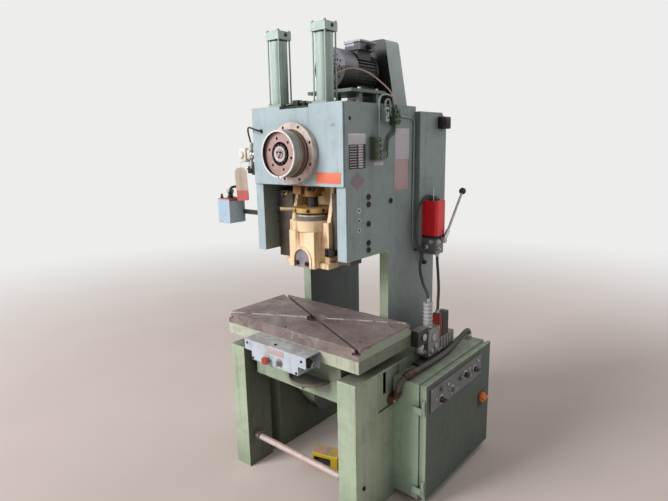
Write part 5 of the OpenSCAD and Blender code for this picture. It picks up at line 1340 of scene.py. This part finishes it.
class PRESS_OT_valve_unit(bpy.types.Operator):
    """Adds the screws, plugs and caps of the air valves on the cabinet"""

    bl_idname = "press.valve_unit"
    bl_label = "Air valves"

    def execute(self, context):
        face = corners("air_valve_unit")[0].x + 46
        fasteners("valve_screws", [
            (face, y, z) for y in (90, 174) for z in (622, 734)
        ] + [(face, y, 624) for y in (196, 318)], RIGHT, 5, 5, "zinc", kind=cap_screw)
        turnings("valve_plugs", [
            ((face, 112, 640), RIGHT, disc(11, 6)), ((face, 148, 650), RIGHT, disc(14, 7)),
            ((face, 130, 700), RIGHT, disc(17, 5)),
            ((face, 40, 728), RIGHT, disc(16, 5)),
            ((face - 23, 80, 640), FRONT, spun(14, (14, 12), (10, 13), (10, 30))),
            ((face - 23, 36, 690.5), DOWN, spun(22, (22, 14), (18, 40), (12, 46))),
        ], "zinc", sides=20)
        turnings("muffler_cap", [((416, 110, 868), UP, disc(13, 4))], "zinc")
        blocks("coil_caps", [
            ((399, 188, 789), (433, 214, 798)), ((399, 225, 786), (433, 275, 796)),
        ], "old_screw", bevel=2)
        return {"FINISHED"}


class PRESS_OT_cabinet_parts(bpy.types.Operator):
    """Adds the cabinet's plates, knob skirts, lamps, hinge bolts and seal"""

    bl_idname = "press.cabinet_parts"
    bl_label = "Cabinet"

    def execute(self, context):
        low, high = corners("cabinet_door")
        door = "cabinet_door"
        face, strip = 556.0, 562.0
        blocks("switch_plate", [((face - 0.5, 386, 268), (face + 1.5, 462, 352))], "black_label", door, 0.5)
        button = corners("start_button")
        push = (button[1].y - button[0].y) / 2 + 0.8
        skirts = ((-19, 485, 12), (319, 507, 12), (88, 490, push), (217, 515, push))
        turnings("knob_skirts", [
            ((strip, y, z), RIGHT, disc(21, 3, 1.2, inner=hole)) for y, z, hole in skirts
        ], "zinc", door, 28)
        turnings("strip_lamps", [
            ((strip + 8.5, -18, 535), RIGHT, spun(10, (10, 5), (7, 9), top=10)),
            ((strip + 8.5, 162, 517), RIGHT, spun(10, (10, 5), (7, 9), top=10)),
        ], "grey_plastic", door, 20)
        turnings("strip_nuts", [
            ((strip, y, z), RIGHT, disc(r, 4, 1)) for y, z, r in (
                (-60, 500, 9), (48, 531, 8), (262, 528, 9), (282, 486, 8), (356, 536, 9), (130, 476, 7))
        ], "zinc", door, 6)
        fasteners("strip_screws", [
            (strip, y, z) for y in (-99, 387) for z in (462, 553)
        ], RIGHT, 3.5, 2, "zinc", door, cap_screw)
        fasteners("switch_screws", [
            (face + 1.4, y, z) for y in (393, 455) for z in (275, 345)
        ], RIGHT, 3, 1.8, "zinc", door, cap_screw)
        hinge = [(low.z + 33, low.z + 97), (high.z - 135, high.z - 71)]
        turnings("hinge_knuckles", [
            ((548, -145, start + 0.3), UP, disc(7.5, 31.2, 0.8, inner=6.8)) for start, _ in hinge
        ], "zinc", "frame", 24)
        turnings("hinge_caps", [
            ((548, -145, z1), UP, spun(6.5, (6.5, 2), (3, 5))) for _, z1 in hinge
        ], "zinc", door, 16)
        body = corners("electrical_cabinet")
        blocks("door_seal", [
            ((face - 20.5, body[0].y + 20, low.z + 12), (face - 16.6, high.y - 12, low.z + 16)),
            ((face - 20.5, body[0].y + 20, high.z - 16), (face - 16.6, high.y - 12, high.z - 12)),
        ], "rubber", bevel=0.4)
        return {"FINISHED"}


class PRESS_OT_console_parts(bpy.types.Operator):
    """Adds the console's label, collars, screws, the emergency button's cap and a conduit"""

    bl_idname = "press.console_parts"
    bl_label = "Console"

    def execute(self, context):
        low, high = corners("console")
        front = low.y
        blocks("console_label", [((-30, front - 0.8, 712), (70, front + 0.4, 738))], "pink_label", bevel=0.2)
        turnings("button_collars", [
            ((-30, front, low.z + 26), FRONT, disc(15, 5, 1, inner=8.4)),
            ((42, front, low.z + 30), FRONT, disc(19, 3, 1, inner=14)),
        ], "zinc", sides=28)
        turnings("mushroom_cap", [
            ((-30, front - 15.6, low.z + 26), FRONT, spun(18.4, (19, 2.5), (16, 6), (9, 7.8), top=8.2)),
        ], "red_plastic", "emergency_button", 28)
        fasteners("console_screws", [
            (x, front, z) for x, z in ((173, 724), (-164, 728), (-128, 664), (142, 664))
        ], FRONT, 5, 3.5, "old_screw", kind=cap_screw)
        fasteners("console_top_bolt", [(-6, front + 26, high.z)], UP, 5.5, 6, "old_screw")
        turnings("palm_collars", [
            ((low.x if s < 0 else high.x, -450, 700), (s, 0, 0), disc(13, 5, 1, inner=8.4)) for s in (-1, 1)
        ], "zinc", sides=20)
        pipes("console_conduit", [
            [(-60, -452, low.z + 0.5), (-60, -452, low.z - 26), (-60, -380, low.z - 44), (-60, -358, low.z - 44)],
        ], 8, "grey_conduit", bend=30)
        return {"FINISHED"}


class PRESS_OT_base_parts(bpy.types.Operator):
    """Adds the base's bolts, the window's lips and the foot bar's collars"""

    bl_idname = "press.base_parts"
    bl_label = "Base"

    def execute(self, context):
        low, high = corners("base_right")
        out, bar = high.x, corners("foot_bar")
        bar_y = (bar[0].y + bar[1].y) / 2
        bar_z = (bar[0].z + bar[1].z) / 2
        for name, s in (("right", 1), ("left", -1)):
            fasteners(
                f"leg_bolt_{name}", [(s * out, bar_y - 3, bar_z)], (s, 0, 0), 9, 6, "old_screw", kind=cap_screw
            )
            turnings(f"bar_collar_{name}", [
                ((s * low.x, bar_y, bar_z), (-s, 0, 0), [(15, 0), (23, 0), (23, 5), (20, 8), (15, 8), (15, 0)]),
            ], "base_enamel", sides=28)
            fasteners(f"anchor_nuts_{name}", [
                (s * (low.x + high.x) / 2, y, 20) for y in (-372, 372)
            ], UP, 14, 18, "old_screw")
        blocks("window_lips", [
            ((out - 6.5, y0, z0), (out + 1.2, y1, z1)) for y0, y1, z0, z1 in (
                (-256, -252, 455, 635), (-91, -87, 455, 635), (-256, -87, 454, 458), (-256, -87, 632, 636))
        ], "base_enamel")
        shelf = corners("round_shelf")
        blocks("shelf_bracket", [
            ((92, shelf[0].y + 30, shelf[0].z - 30), (108, shelf[1].y + 0.5, shelf[0].z + 0.5)),
        ], "base_enamel", bevel=1.5)
        return {"FINISHED"}


class PRESS_OT_foot_switch(bpy.types.Operator):
    """Adds the foot switch's tread, screws and its cover"""

    bl_idname = "press.foot_switch"
    bl_label = "Foot switch"

    def execute(self, context):
        place = Matrix.Translation(mm(*FOOT_SPOT)) @ Matrix.Rotation(FOOT_TURN, 4, "Z")
        blocks("pedal_tread", [
            ((16, 11 + 9 * i, 23.5), (93, 16 + 9 * i, 26)) for i in range(4)
        ], "rubber", "foot_pedal", 1, place)
        slope = Matrix.Rotation(math.atan2(-FOOT_DROP, FOOT_L), 4, "X")
        lid = place @ Matrix.Translation(mm(0, 0, FOOT_H)) @ slope
        blocks("foot_cover", [((5, 9, -1), (79, 72, 0.7))], "foot_label", bevel=0.5, place=lid)
        blocks("foot_rim", [((4, -0.1, 50.5), (136, 2, 54))], "guard_enamel", place=place)
        fasteners("foot_screws", [
            tuple(place @ mm(x, 92, 8.5) / MM) for x in (14, 126)
        ], UP, 3.2, 3, "zinc", kind=cap_screw)
        return {"FINISHED"}


class PRESS_PT_sidebar(bpy.types.Panel):
    """Lists the operators and the settings"""

    bl_idname = "PRESS_PT_sidebar"
    bl_label = "Stamping press"
    bl_space_type = "VIEW_3D"
    bl_region_type = "UI"
    bl_category = "Press"

    def draw(self, context):
        for step in STEPS:
            self.layout.operator(step.bl_idname)
        for group in ("press_paints", "press_detail", "press_stage"):
            settings = getattr(context.scene, group)
            box = self.layout.box()
            for key in settings.bl_rna.properties.keys():
                if key not in {"rna_type", "name"}:
                    box.prop(settings, key)


STEPS = (
    PRESS_OT_stage,
    PRESS_OT_finishes,
    PRESS_OT_crank_end,
    PRESS_OT_cylinders,
    PRESS_OT_head_plates,
    PRESS_OT_left_air,
    PRESS_OT_motor,
    PRESS_OT_ram_parts,
    PRESS_OT_oil_pump,
    PRESS_OT_air_hoses,
    PRESS_OT_valve_unit,
    PRESS_OT_cabinet_parts,
    PRESS_OT_console_parts,
    PRESS_OT_base_parts,
    PRESS_OT_foot_switch,
)
CLASSES = (PressPaints, PressDetail, PressStage, *STEPS, PRESS_PT_sidebar)


def register():
    for kind in CLASSES:
        bpy.utils.register_class(kind)
    bpy.types.Scene.press_paints = PointerProperty(type=PressPaints)
    bpy.types.Scene.press_detail = PointerProperty(type=PressDetail)
    bpy.types.Scene.press_stage = PointerProperty(type=PressStage)


def unregister():
    del bpy.types.Scene.press_stage
    del bpy.types.Scene.press_detail
    del bpy.types.Scene.press_paints
    for kind in reversed(CLASSES):
        bpy.utils.unregister_class(kind)


def main():
    register()
    for step in STEPS:
        group, name = step.bl_idname.split(".")
        getattr(getattr(bpy.ops, group), name)()


if __name__ == "__main__":
    main()
